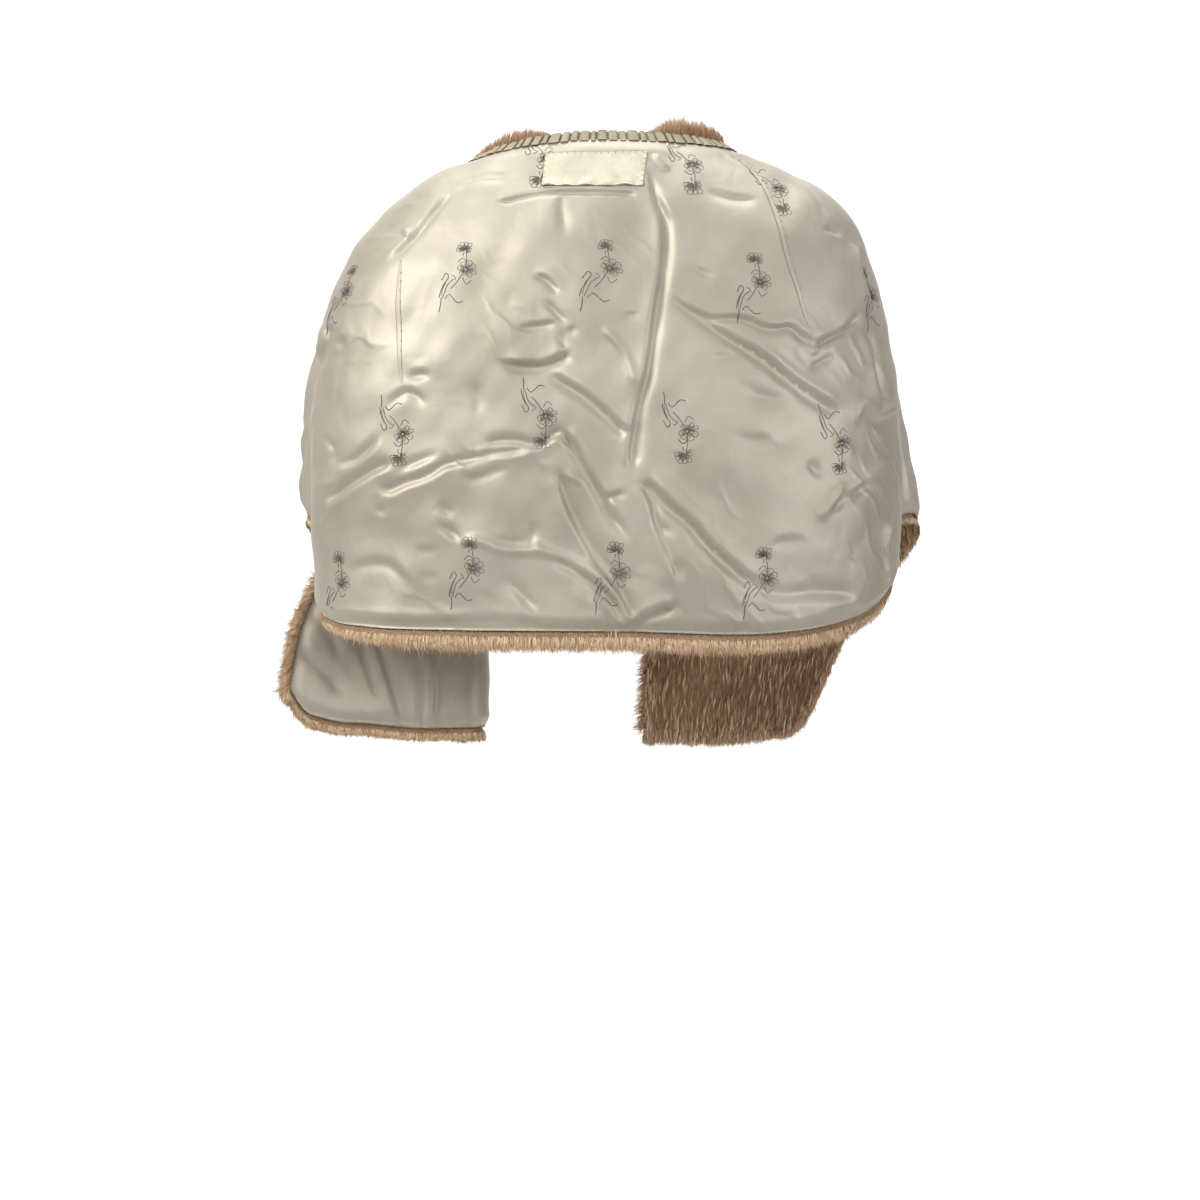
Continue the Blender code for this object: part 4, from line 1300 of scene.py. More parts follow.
BACK_CREASES = charted(
    # Long S valley below the label, with a raised lip beside it.
    (((41, 40), (50, 76), (56, 92), (58, 115), (56, 144), (51, 175), (46, 210),
      (41, 242), (34, 271), (29, 301), (25, 338)), 4.8, 4.7, 0.55, (34, 18)),
    # Folds running out to the right from it.
    (((70, 182), (94, 193), (121, 210), (145, 224), (166, 240), (188, 256), (208, 269),
      (229, 281)), 5.4, 5.0, -0.55, (70, 26)),
    (((60, 166), (84, 183), (105, 190), (121, 189), (137, 191), (151, 198), (166, 199),
      (176, 197), (188, 205), (203, 215)), 3.0, 3.8, -0.40, (30, 14)),
    (((200, 216), (214, 207), (229, 199), (246, 180)), 4.4, 4.0, -0.50, (10, 14)),
    (((194, 227), (206, 222), (212, 217)), 2.2, 3.2, -0.40),
    (((194, 239), (210, 228), (222, 221)), 3.0, 3.6, -0.40),
    (((97, 229), (114, 226), (134, 222)), 1.2, 4.0, -0.40),
    (((84, 139), (95, 145), (106, 151)), 1.2, 5.0, -0.30),
    (((14, 187), (24, 187), (35, 185)), 1.2, 3.4, -0.30),
    (((120, 246), (146, 262), (170, 266), (186, 258)), 1.4, 9.0, -0.20),
    # Star of short puckers left of the middle.
    (((-70, 149), (-58, 151), (-49, 160), (-44, 168)), 3.0, 3.4, -0.45),
    (((-59, 172), (-48, 185), (-36, 197)), 3.4, 3.4, 0.45),
    (((-89, 199), (-72, 198), (-58, 196), (-42, 193)), 2.4, 3.4, -0.40),
    (((-41, 200), (-42, 212), (-37, 222)), 2.2, 3.2, 0.40),
    (((-37, 205), (-28, 198)), 2.0, 3.0, -0.40),
    (((-104, 231), (-78, 236), (-58, 235), (-44, 229), (-33, 221)), 5.0, 4.4, -0.55,
     (26, 10)),
    (((-54, 241), (-39, 252), (-19, 265), (-3, 279), (10, 291), (22, 303)), 5.0, 4.6, -0.60,
     (20, 12)),
    (((-5, 199), (8, 211), (17, 222), (23, 237), (27, 259)), -2.4, 4.0, 0.0, (14, 14)),
    # Sweeping folds from the middle down to the left.
    (((-39, 296), (-52, 304), (-66, 312), (-80, 309), (-98, 308), (-118, 311)), 4.2, 3.8,
     -0.50, (9, 14)),
    (((-69, 315), (-88, 318), (-108, 320), (-127, 325), (-156, 332), (-168, 340),
      (-192, 348), (-210, 354), (-217, 348)), 3.0, 3.8, -0.50, (10, 16)),
    (((-110, 318), (-118, 317), (-126, 322)), -1.8, 3.0, 0.0),
    (((-156, 318), (-176, 326), (-190, 332), (-200, 340)), 2.2, 3.4, -0.40),
    (((-138, 345), (-121, 342), (-105, 336), (-88, 332)), 1.8, 4.6, -0.40),
    (((-41, 296), (-30, 316), (-17, 338), (-5, 358), (2, 372), (16, 394)), 4.6, 4.2, -0.55,
     (12, 16)),
    (((-45, 336), (-36, 366), (-23, 394), (-9, 418), (5, 438), (16, 455), (27, 479)), 5.6,
     4.2, 0.55, (14, 6)),
    (((-42, 338), (-32, 343), (-20, 350)), -2.0, 3.2, 0.0),
    (((-5, 362), (8, 360), (21, 356)), 2.8, 3.2, -0.40),
    (((-5, 361), (8, 380), (19, 396), (26, 405)), 2.4, 3.2, -0.50),
    # Ridge that ends at the hem's middle, with troughs on both its sides.
    (((-138, 402), (-121, 404), (-101, 411), (-78, 413), (-58, 414), (-38, 421),
      (-18, 431), (-2, 442), (13, 460), (24, 479)), -3.8, 3.6, 0.0, (16, 5)),
    (((-158, 389), (-148, 395), (-138, 403)), 2.8, 3.4, 0.40),
    (((-112, 400), (-90, 407), (-72, 408)), 2.0, 3.8, 0.20),
    (((-54, 420), (-33, 431), (-19, 441), (-5, 452), (9, 465), (17, 482)), 4.2, 3.8, 0.35,
     (16, 4)),
    (((-70, 402), (-64, 408), (-58, 413)), -2.2, 3.0, 0.0),
    (((-69, 384), (-70, 394), (-72, 407)), 2.4, 3.0, 0.40),
    (((-35, 446), (-28, 444), (-19, 453), (-8, 462)), 3.2, 3.4, 0.40),
    (((3, 468), (1, 478), (6, 486)), 2.2, 3.0, 0.40),
    # Left half, low down.
    (((-184, 411), (-170, 412), (-157, 409)), 1.0, 3.0, -0.4),
    (((-180, 433), (-168, 437), (-156, 437)), 0.8, 3.0, -0.4),
    (((-100, 439), (-82, 451), (-72, 463), (-61, 464)), 2.4, 5.0, 0.30),
    (((-90, 447), (-78, 460), (-63, 475)), 2.4, 3.2, 0.40),
    (((-128, 450), (-116, 455), (-102, 461)), 0.9, 3.0, -0.4),
    (((-161, 368), (-152, 375), (-145, 381)), 1.6, 4.6, 0.40),
    (((-220, 372), (-214, 375), (-210, 372)), 1.6, 3.0, 0.40),
    (((-262, 476), (-215, 479), (-156, 480), (-105, 478), (-78, 480), (-58, 484)), 2.2, 3.0,
     -0.70, (14, 14)),
    # Folds down to the right of the hem.
    (((38, 341), (60, 369), (80, 386), (99, 408), (117, 424), (133, 438), (150, 448)), 5.6,
     5.0, -0.55, (20, 18)),
    (((33, 346), (44, 365), (50, 388), (60, 412), (73, 443)), 3.6, 3.8, 0.50, (10, 12)),
    (((50, 388), (56, 392), (63, 399)), 2.0, 3.0, 0.40),
    (((19, 489), (34, 479), (50, 471), (67, 465)), 5.0, 3.8, -0.65, (3, 8)),
    (((65, 458), (67, 465), (72, 473)), 2.4, 3.0, 0.40),
    (((119, 483), (130, 486), (140, 480)), 2.8, 3.0, -0.40, (8, 8)),
    (((136, 450), (172, 455), (212, 453), (244, 455)), 3.4, 7.0, 0.35, (20, 20)),
    (((157, 407), (176, 402), (194, 403)), 2.2, 4.6, -0.30),
    (((203, 383), (213, 371), (223, 357), (231, 345)), -3.0, 4.0, 0.0, (8, 14)),
    (((213, 377), (228, 362), (243, 352), (254, 342)), 3.4, 4.0, -0.30, (12, 12)),
    (((224, 370), (243, 350), (260, 336), (276, 328)), -2.8, 4.0, 0.0, (14, 10)),
    (((192, 325), (200, 334), (210, 343)), 1.8, 5.0, 0.30),
    (((227, 305), (233, 312), (239, 322)), -1.6, 3.4, 0.0),
    (((190, 436), (200, 441), (212, 443)), 0.9, 3.2, -0.4),
    (((208, 474), (231, 468), (250, 466)), 2.0, 3.0, -0.60, (10, 8)),
    # Left half towards the side.
    (((-213, 297), (-225, 312), (-239, 324), (-253, 327), (-263, 325)), 3.0, 3.8, -0.45),
    (((-203, 327), (-223, 335), (-241, 345), (-256, 355), (-271, 366)), 5.2, 4.6, -0.55,
     (12, 14)),
    (((-268, 188), (-271, 204), (-279, 222), (-289, 243), (-294, 262)), 6.0, 4.2, 0.50,
     (10, 18)),
    (((-249, 204), (-255, 210), (-263, 211)), 2.0, 3.2, -0.40),
    (((-272, 300), (-262, 312), (-264, 330)), 1.8, 4.0, 0.40),
    (((-190, 246), (-178, 242), (-166, 244)), 2.6, 3.8, -0.40),
    (((-212, 276), (-202, 266), (-190, 259), (-180, 263), (-171, 274)), 2.8, 4.0, -0.40),
    (((-146, 63), (-158, 74), (-172, 92), (-186, 110), (-209, 134)), 2.2, 3.4, 0.40,
     (24, 18)),
    (((-197, 98), (-190, 106), (-186, 112)), -1.8, 4.0, 0.0),
    # Below and beside the label.
    (((-106, 72), (-96, 74), (-84, 71), (-60, 67), (-47, 66), (0, 67), (32, 70)), 1.7, 2.8,
     -0.40, (10, 12)),
    (((-43, 66), (-42, 88), (-38, 113)), 2.0, 6.0, 0.40, (12, 20)),
    (((44, 28), (53, 38), (62, 46)), -2.2, 3.2, 0.0, (8, 8)),
    (((50, 64), (60, 82), (66, 96)), -1.6, 4.0, 0.0),
    # Right half towards the side.
    (((240, 291), (248, 271), (264, 280), (276, 274), (288, 267)), -3.6, 3.4, 0.0, (12, 12)),
    (((252, 282), (264, 287), (278, 281)), 4.4, 3.6, -0.40),
    (((250, 196), (257, 207), (263, 232), (267, 254), (272, 269)), 5.0, 3.8, 0.60, (12, 8)),
    (((249, 112), (252, 128), (256, 146), (264, 172)), 5.4, 3.8, 0.50, (12, 12)),
    (((236, 110), (246, 120), (252, 138)), -1.6, 3.2, 0.0),
    (((211, 98), (221, 100), (231, 105)), 1.8, 4.0, 0.40),
    (((276, 322), (281, 328), (284, 337)), 2.8, 3.2, 0.40, (6, 6)),
    (((272, 378), (270, 398), (270, 416), (271, 442)), -3.6, 3.4, 0.0, (14, 8)),
    (((278, 372), (277, 396), (278, 420), (276, 440)), 4.4, 3.4, 0.30, (14, 8)),
    # Soft hollows where nothing pulls the cloth.
    (((96, 62), (120, 70), (150, 72)), 1.4, 5.0, -0.40, (14, 16)),
    (((-150, 60), (-122, 52), (-92, 50)), 1.2, 6.0, -0.40, (14, 16)),
    (((120, 300), (138, 306), (162, 304)), 1.2, 6.0, -0.40, (14, 16)),
    (((-130, 250), (-122, 268), (-124, 286)), 1.2, 6.0, 0.40, (14, 16)),
    (((-250, 430), (-214, 424), (-180, 450)), 1.4, 6.0, -0.40, (16, 16)),
)
FRONT_CREASES = charted(
    (((130, 130), (168, 214), (215, 330)), 4.0, 7.0, 0.45, (30, 40)),
    (((110, 250), (140, 372), (190, 520)), 3.8, 7.5, -0.45, (36, 40)),
    (((225, 160), (246, 240), (262, 330)), 3.6, 6.5, 0.45, (30, 36)),
    (((100, 420), (118, 500), (140, 570)), -3.4, 7.0, 0.0, (30, 16)),
    (((150, 300), (132, 344), (128, 392)), 2.6, 5.0, 0.4, (16, 20)),
    (((196, 392), (180, 430), (176, 480)), 2.8, 5.0, -0.4, (16, 24)),
    (((236, 372), (222, 404), (216, 446)), 2.6, 4.6, 0.4, (14, 16)),
    (((158, 92), (176, 128), (204, 160)), 2.0, 5.0, 0.4, (14, 20)),
    (((120, 182), (116, 216), (124, 258)), 1.8, 5.0, -0.4, (14, 20)),
    # Fine pleats drawn together at the elbow.
    (((294, 286), (303, 322), (308, 352)), 1.8, 2.6, 0.4, (12, 8)),
    (((299, 276), (311, 322), (316, 348)), 1.8, 2.6, 0.4, (12, 8)),
    (((290, 300), (297, 332), (301, 366)), 1.8, 2.4, -0.4, (12, 8)),
    (((304, 262), (316, 302), (322, 340)), 1.6, 2.4, 0.4, (12, 8)),
)
FACING_CREASES = charted(
    (((-308, 510), (-284, 530), (-262, 556)), 3.6, 5.0, -0.4, (10, 14)),
    (((-240, 480), (-222, 536), (-205, 590)), 3.0, 5.0, 0.4, (18, 6)),
    (((-190, 524), (-187, 556), (-189, 596)), 3.0, 4.0, -0.4, (12, 3)),
    (((-178, 510), (-174, 548), (-176, 592)), 2.6, 3.6, 0.4, (12, 3)),
    (((-268, 470), (-250, 508), (-232, 560)), 2.2, 4.4, 0.4, (14, 10)),
    (((-298, 470), (-280, 492), (-266, 520)), 2.2, 4.0, -0.4, (10, 10)),
    (((-216, 430), (-206, 470), (-210, 510)), 2.2, 5.0, -0.4, (14, 14)),
)
SWELLS = (
    Swell(0.95, 173, 20, 0.4), Swell(0.80, 127, -48, 1.9), Swell(0.60, 91, 68, 3.3),
    Swell(0.44, 61, 12, 5.1), Swell(0.34, 47, -71, 0.9), Swell(0.22, 33, 35, 2.2),
)


@dataclass
class LooseCloth:
    """A loose lining panel: its ease, creases, rims and closed thin shell."""

    name: str
    node: str
    panel: Panel
    creases: tuple[Crease, ...]
    cut: tuple[float, float]
    cut_area: float
    held: Held
    mirror: int = 1
    every: int = 2
    ease: float = 0.0054
    least: float = 0.00025
    thickness: float = 0.0009
    fades: tuple[float, float, float] = (0.026, 0.011, 0.020)
    crease_fades: tuple[float, float, float] = (0.010, 0.005, 0.012)
    ripple: float = 0.0006
    roll: float = 0.0007
    ripple_length: float = 0.0125
    ripple_stray: tuple[float, float] = (1.3, 0.31)
    ripple_band: tuple[float, float] = (0.002, 0.016)
    roll_band: tuple[float, float] = (0.0125, 0.0032)
    groove_band: tuple[float, float] = (0.0075, 0.0022)
    groove: float = 0.6
    rim_relief: float = 0.15
    least_run: float = 0.003
    piece: bpy.types.Object | None = None
    rests_on: tuple[str, ...] = ()

    def shape(self) -> None:
        """Sets the panel's lift from its ease, swells, creases and rim ripples."""
        panel = self.panel
        top, hem, side = panel.rim_distance()
        ease, relief = np.ones(top.shape), np.ones(top.shape)
        for distance, far, near in zip((top, hem, side), self.fades, self.crease_fades):
            ease *= smoothstep(distance / far)
            relief *= smoothstep(self.rim_relief + distance / near)
        x = self.mirror * panel.points[..., 0] / MM
        drop = -panel.points[..., 2] / MM
        moved = np.zeros(x.shape)
        for swell in SWELLS:
            moved += swell.relief(x, drop) * ease
        for crease in self.creases:
            moved += crease.relief(x, drop)
        along = np.cumsum(
            np.pad(np.linalg.norm(np.diff(panel.points, axis=1), axis=-1), ((0, 0), (1, 0))),
            axis=1,
        )
        turn = 2 * math.pi * along / self.ripple_length
        stray, slower = self.ripple_stray
        wave = np.sin(turn + stray * np.sin(turn * slower)) * 0.5 + 0.5
        start, end = self.ripple_band
        wave *= smoothstep(hem / start) * (1 - smoothstep(hem / end))
        lift = self.ease * ease + moved * MM * relief + self.ripple * wave
        rolled = bump(hem, *self.roll_band) - self.groove * bump(hem, *self.groove_band)
        lift = self.softened(lift + self.roll * rolled * relief)
        floor = self.least * smoothstep(np.minimum.reduce([top, hem, side]) / self.least_run)
        panel.lift = np.maximum(lift, floor)

    @staticmethod
    def softened(lift: Array) -> Array:
        """A grid's values, each drawn halfway to the mean of its neighbours."""
        for _ in range(2):
            padded = np.pad(lift, ((1, 1), (0, 0)), mode="edge")
            lift = (0.5 * lift + 0.25 * (padded[:-2] + padded[2:])).T
        return lift

    def lowest(self) -> Array:
        """Works out the inner side's lift, which has fewer points.

        Returns:
            The least lift near each point.
        """
        lift = self.panel.lift
        low = lift.copy()
        for axis, size in enumerate(lift.shape):
            for shift in range(1, self.every):
                wide = [(shift, shift) if axis == way else (0, 0) for way in (0, 1)]
                padded = np.pad(lift, wide, mode="edge")
                for start in (0, 2 * shift):
                    low = np.minimum(low, np.take(padded, np.arange(start, start + size), axis))
        return low

    def build(self, finish: SatinFinish, rests_on: Sequence[str]) -> None:
        """Builds the cloth.

        Args:
            finish: its satin.
            rests_on: what it hangs from.
        """
        self.shape()
        panel = self.panel
        inner = panel.points + panel.normals * (self.lowest() - self.thickness)[..., None]
        mesh = shell(panel.raised(), inner, self.every)
        if panel.flip < 0:
            mesh.turn_over(1)
        self.piece = dress(mesh.piece(self.name), finish.material(), Slot.SATIN, self.node)
        self.rests_on = tuple(rests_on)

    def declare(self, *sewn_on: bpy.types.Object) -> None:
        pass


def even_bearings(start: float, end: float, steps: int) -> Array:
    """Bearings between two, even along the elbow's ring."""
    fine = np.linspace(start, end, 800)
    run = running_length(FORM.point(fine, FORM.elbow_level))
    return np.interp(np.linspace(0, run[-1], steps + 1), run, fine)


@dataclass
class Lining:
    """The satin lining: back, two fronts and the stretch folded under."""

    back_steps: tuple[int, int] = (312, 288)
    front_steps: tuple[int, int] = (106, 200)
    facing_steps: tuple[int, int] = (96, 150)
    facing_start: float = 0.0013
    satin: SatinFinish = SatinFinish("lining_satin")

    def cloths(self) -> dict[str, LooseCloth]:
        """Plans the four loose cloths.

        Returns:
            The cloths by short names.
        """
        columns, rows = self.back_steps
        end = FORM.side_seam - FORM.seam_angle
        back = Panel(FORM.back, even_bearings(-end, end, columns), np.linspace(0, 1, rows + 1))
        made = {
            "back": LooseCloth(
                "back_lining", "lining_back", back, BACK_CREASES, (0.74, 0.54), 0.345,
                Held.DRAPED, every=4,
            )
        }
        columns, rows = self.front_steps
        cuts = {Side.LEFT: ((0.24, 0.58), 0.094), Side.RIGHT: ((0.32, 0.59), 0.135)}
        for side in Side:
            front = Panel(
                FORM.front(side), np.linspace(0, 1, columns + 1), np.linspace(0, 1, rows + 1),
                side.value,
            )
            made[side.word] = LooseCloth(
                f"{side.word}_front_lining", f"lining_{side.word}_front", front,
                FRONT_CREASES, *cuts[side], Held.DRAPED, side.value,
            )
        columns, rows = self.facing_steps
        across = FORM.fold_columns(self.facing_start, columns)
        facing = Panel(FORM.facing, across, np.linspace(0, 1, rows + 1), -1)
        made["facing"] = LooseCloth(
            "left_facing_lining", "lining_left_facing", facing, FACING_CREASES,
            (0.24, 0.38), 0.076, Held.FOLDED,
        )
        return made

    def build(self) -> dict[str, LooseCloth]:
        """Builds all four and returns them by short names."""
        made = self.cloths()
        for cloth in made.values():
            fur = cloth.node.replace("lining", "pelt")
            rests = ["pelt_back_left", "pelt_back_right"] if "back" in fur else [fur]
            cloth.build(self.satin, rests)
        return made


# ---------------------------------------------------------------- fur


LOCK_CODE = np.array([73856093, 19349663, 83492791])  # Primes, to tell locks of hair apart.


@dataclass(frozen=True)
class Nap:
    """How the hairs of one area grow."""

    length: float
    width: float
    rise: float
    droop: float
    spread: float
    slender: bool = False
    clump: float = 0.5
    lock: float = 0.0055
    lock_uneven: float = 0.34
    uneven: float = 0.50
    rise_uneven: float = 0.35
    turn: float = 0.9


class Hairs:
    """Hairs as slender blades, gathered into one mesh."""

    def __init__(self, seed: int) -> None:
        """Starts a coat with its own seed."""
        self.random = np.random.default_rng(seed)
        self.mesh = Joined()

    def grow(self, roots: Array, out: Array, lay: Array, nap: Nap, pale: float = 0.5,
             scale: Array | float = 1.0) -> None:
        """Grows one hair at each root.

        Args:
            roots: where they start.
            out: the direction away from the skin at each root.
            lay: the direction in which the fur lies there.
            nap: how they grow.
            pale: the share of pale hairs.
            scale: how long each is against the nap's length.
        """
        count = len(roots)
        draw = self.random
        lock = np.floor(roots / nap.lock).astype(np.int64)
        code = (lock * LOCK_CODE).sum(-1)
        lean = np.sin(code * 12.9898) * 0.5 + np.sin(code * 4.1414) * 0.5
        by_lock = nap.lock_uneven * np.sin(code * 7.77)
        size = nap.length * (1 + by_lock + nap.uneven * (draw.random(count) - 0.5)) * scale
        aside = unit(np.cross(lay, out))
        sway = nap.spread * (0.75 * lean + 0.5 * draw.normal(size=count))
        rise = nap.rise * (1 + nap.rise_uneven * (draw.random(count) - 0.5))
        first = unit(lay * np.cos(rise)[:, None] + out * np.sin(rise)[:, None]
                     + aside * (0.5 * sway)[:, None])
        second = unit(lay + out * (nap.droop * (0.6 + 0.8 * draw.random(count)))[:, None]
                      + aside * (1.3 * sway)[:, None])
        middle = roots + first * (0.5 * size)[:, None]
        gathered = (lock + 0.5) * nap.lock - roots
        gathered -= (gathered * lay).sum(-1, keepdims=True) * lay
        gathered -= (gathered * out).sum(-1, keepdims=True) * out
        tip = middle + second * (0.55 * size)[:, None] + nap.clump * gathered
        turn = draw.uniform(-nap.turn, nap.turn, count)
        flat = aside * np.cos(turn)[:, None] + np.cross(first, aside) * np.sin(turn)[:, None]
        width = nap.width * (0.75 + 0.5 * draw.random(count))
        half = flat * (0.5 * width)[:, None]
        tone = np.clip(draw.random(count) * 0.75 + 0.25 * (np.sin(code * 3.3) * 0.5 + 0.5)
                       + 0.5 - pale, 0.02, 0.98)
        index = np.arange(count)[:, None]
        if nap.slender:
            points = np.stack([roots, middle - half, middle + half, tip], axis=1)
            along = (0.0, 0.5, 0.5, 1.0)
            faces = (index * 4 + np.array([[0, 2, 1]]), index * 4 + np.array([[1, 2, 3]]))
            faces = (np.concatenate(faces),)
        else:
            points = np.stack(
                [roots - half, roots + half, middle + 0.8 * half, middle - 0.8 * half, tip], axis=1
            )
            along = (0.0, 0.0, 0.5, 0.5, 1.0)
            faces = (index * 5 + np.array([[0, 1, 2, 3]]), index * 5 + np.array([[3, 2, 4]]))
        marks = np.stack(
            [np.repeat(tone, len(along)), np.tile(np.array(along) * 0.96 + 0.02, count)], axis=1
        )
        self.mesh.add(points.reshape(-1, 3), faces, marks)

    def piece(self, name: str, finish: HairFinish) -> None:
        """Makes the coat's piece, each blade shaded flat."""
        piece = dress(self.mesh.piece(name, marked=True), finish.material(), Slot.FUR)
        piece.data.shade_flat()


@dataclass
class Skin:
    """A pelt as a grid of places with its rim past the lining's edges."""

    points: Array
    normals: Array
    past: Array
    edge_rows: int
    outer_rim: tuple[tuple[float, float], ...] = (
        (0.0, -0.0015), (0.06, 0.0009), (0.55, 0.0013), (1.0, -0.0026),
    )
    inner_depth: float = 0.0064
    slack: float = 0.0022

    def offsets(self) -> tuple[Array, Array]:
        """How far the skin's two sides lie off the form."""
        shares, outer = np.array(self.outer_rim).T
        top = np.interp(self.past, shares, outer)
        within = smoothstep(self.depth_in() / 0.02) * (self.past <= 0)
        inner = -self.inner_depth + 0.002 * self.past
        return top - within * self.slack, inner

    def depth_in(self) -> Array:
        """Distance of each point from the skin's own rims."""
        rims = (self.points[:1], self.points[-1:], self.points[:, :1], self.points[:, -1:])
        return np.min([np.linalg.norm(self.points - rim, axis=-1) for rim in rims], axis=0)

    def at(self, column: Array, row: Array, offset: Array | float) -> tuple[Array, Array, Array]:
        """Places on the skin.

        Args:
            column: fractions of the columns.
            row: fractions of the rows.
            offset: how far off the form they lie.

        Returns:
            Points, outward normals, and the direction down the skin.
        """
        between = read_grid(self.points.shape, column, row)
        normals = unit(between(self.normals))
        downward = unit(between(np.gradient(self.points, axis=0)))
        return between(self.points) + normals * np.asarray(offset)[..., None], normals, downward


@dataclass(frozen=True)
class Pelt:
    """One pelt: its skin, its flat cut, and whether its front edge has a fringe."""

    name: str
    skin: Skin
    cut: tuple[float, float]
    area: float
    turned: bool = False
    edge_fringe: bool = False
    held: Held = Held.DRAPED


@dataclass
class Pelts:
    """The fur side: five skins with their coats."""

    edge_fur: float = 0.015
    facing_fur: float = 0.0115
    corner_cut: float = 0.45
    facing_start: float = 0.0042
    back_steps: tuple[int, int] = (36, 40)
    front_steps: tuple[int, int] = (28, 40)
    facing_steps: tuple[int, int] = (32, 34)
    rim_shares: tuple[float, ...] = (0.06, 0.15, 0.28, 0.42, 0.55)
    inner_nap: Nap = Nap(0.0165, 0.0012, 0.52, 0.02, 0.16, slender=True)
    rim_nap: Nap = Nap(0.0125, 0.00065, 0.48, -0.26, 0.42, False, 0.75, 0.0041)
    guard_nap: Nap = Nap(0.0135, 0.00055, 0.34, -0.10, 0.50, True, 0.30, 0.0030)
    guard_every: int = 7
    hairs_per_mm: int = 11
    inner_pale: float = 0.42
    rim_pale: tuple[float, float, float] = (0.80, 0.60, 0.30)
    outer_crowd: float = 0.8
    overhang: tuple[float, float] = (1.42, 2.4)
    fringe_scale: tuple[float, float] = (0.22, 1.7)
    root_depth: float = 0.0006
    first_seed: int = 100
    inner_spacing: float = 0.00235
    skin: SkinFinish = SkinFinish()
    hair: HairFinish = HairFinish("mink_hair")

    def rim_plan(self, inside: Array) -> Array:
        """Rows of a share over the skin and a share past its edge."""
        over = [(share, 0.0) for share in inside]
        return np.array(over + [(1.0, past) for past in self.rim_shares])

    def rim_grids(self, sideways: Array, downward: Array) -> tuple[Array, ...]:
        """Spreads two rim plans over a skin, its corner cut round.

        Args:
            sideways: the plan for the columns.
            downward: the plan for the rows.

        Returns:
            Shares across and down, how far past any edge, and how far past the front
            edge and past the hem.
        """
        share, down = np.meshgrid(sideways[:, 0], downward[:, 0])
        edge_past, hem_past = np.meshgrid(sideways[:, 1], downward[:, 1])
        edge_cut = edge_past * (1 - self.corner_cut * hem_past)
        hem_cut = hem_past * (1 - self.corner_cut * edge_past)
        return share, down, np.maximum(edge_past, hem_past), edge_cut, hem_cut

    def back_skin(self, side: Side) -> Skin:
        """Half of the back's skin.

        Args:
            side: which half.

        Returns:
            The skin.
        """
        steps = self.back_steps
        end = side.value * (FORM.side_seam - FORM.seam_angle)
        bearings = np.sort(even_bearings(0.0, end, steps[0]))
        plan = self.rim_plan(np.linspace(0, 1, steps[1] + 1))
        across, down = np.meshgrid(bearings, plan[:, 0])
        past = np.broadcast_to(plan[:, 1:], across.shape)
        level = down * FORM.hem_level(across)
        level = np.where(past > 0, FORM.below_hem(across, past), level)
        points = FORM.point(across, level)
        middle = -1 if side is Side.LEFT else 0
        points[:, middle, 0] = 0.0
        return Skin(points, outward(FORM.point, across, level), past, steps[1])

    def front_skin(self, side: Side, edge_rim: bool) -> Skin:
        """A front's skin.

        Args:
            side: which front.
            edge_rim: whether it has a rim past its front edge.

        Returns:
            The skin.
        """
        steps = self.front_steps
        sideways = self.rim_plan(np.linspace(0, 1, steps[0] + 1))
        if not edge_rim:
            sideways = sideways[: steps[0] + 1]
        plan = self.rim_plan(np.linspace(0, 1, steps[1] + 1))
        share, down, past, edge_cut, hem_cut = self.rim_grids(sideways, plan)
        seam = side.value * (FORM.side_seam + FORM.seam_angle)
        inset = edge_cut * self.edge_fur
        edge = FORM.front_edge(side, down, inset)
        past_hem = FORM.front_bearing(side, FORM.below_hem(edge, hem_cut), inset)
        across = seam + (np.where(hem_cut > 0, past_hem, edge) - seam) * share
        level = np.where(
            hem_cut > 0, FORM.below_hem(across, hem_cut), down * FORM.hem_level(across)
        )
        points = FORM.point(across, level)
        return Skin(points, outward(FORM.point, across, level), past, steps[1])

    def facing_skin(self) -> Skin:
        """The skin of the stretch folded under.

        Returns:
            The skin.
        """
        steps = self.facing_steps
        sideways = self.rim_plan(FORM.fold_columns(self.facing_start, steps[0]))
        plan = self.rim_plan(np.linspace(0, 1, steps[1] + 1))
        share, down, past, edge_cut, hem_cut = self.rim_grids(sideways, plan)
        level = FORM.folded_level(share, down, hem_cut)
        start, end = FORM.folded(FORM.turn_share, level), FORM.folded(1.0, level)
        width = np.linalg.norm(end - start, axis=-1)
        across = share + edge_cut * self.facing_fur / width * (1 - FORM.turn_share)
        points = FORM.folded(across, level)
        return Skin(points, -outward(FORM.folded, across, level), past, steps[1])

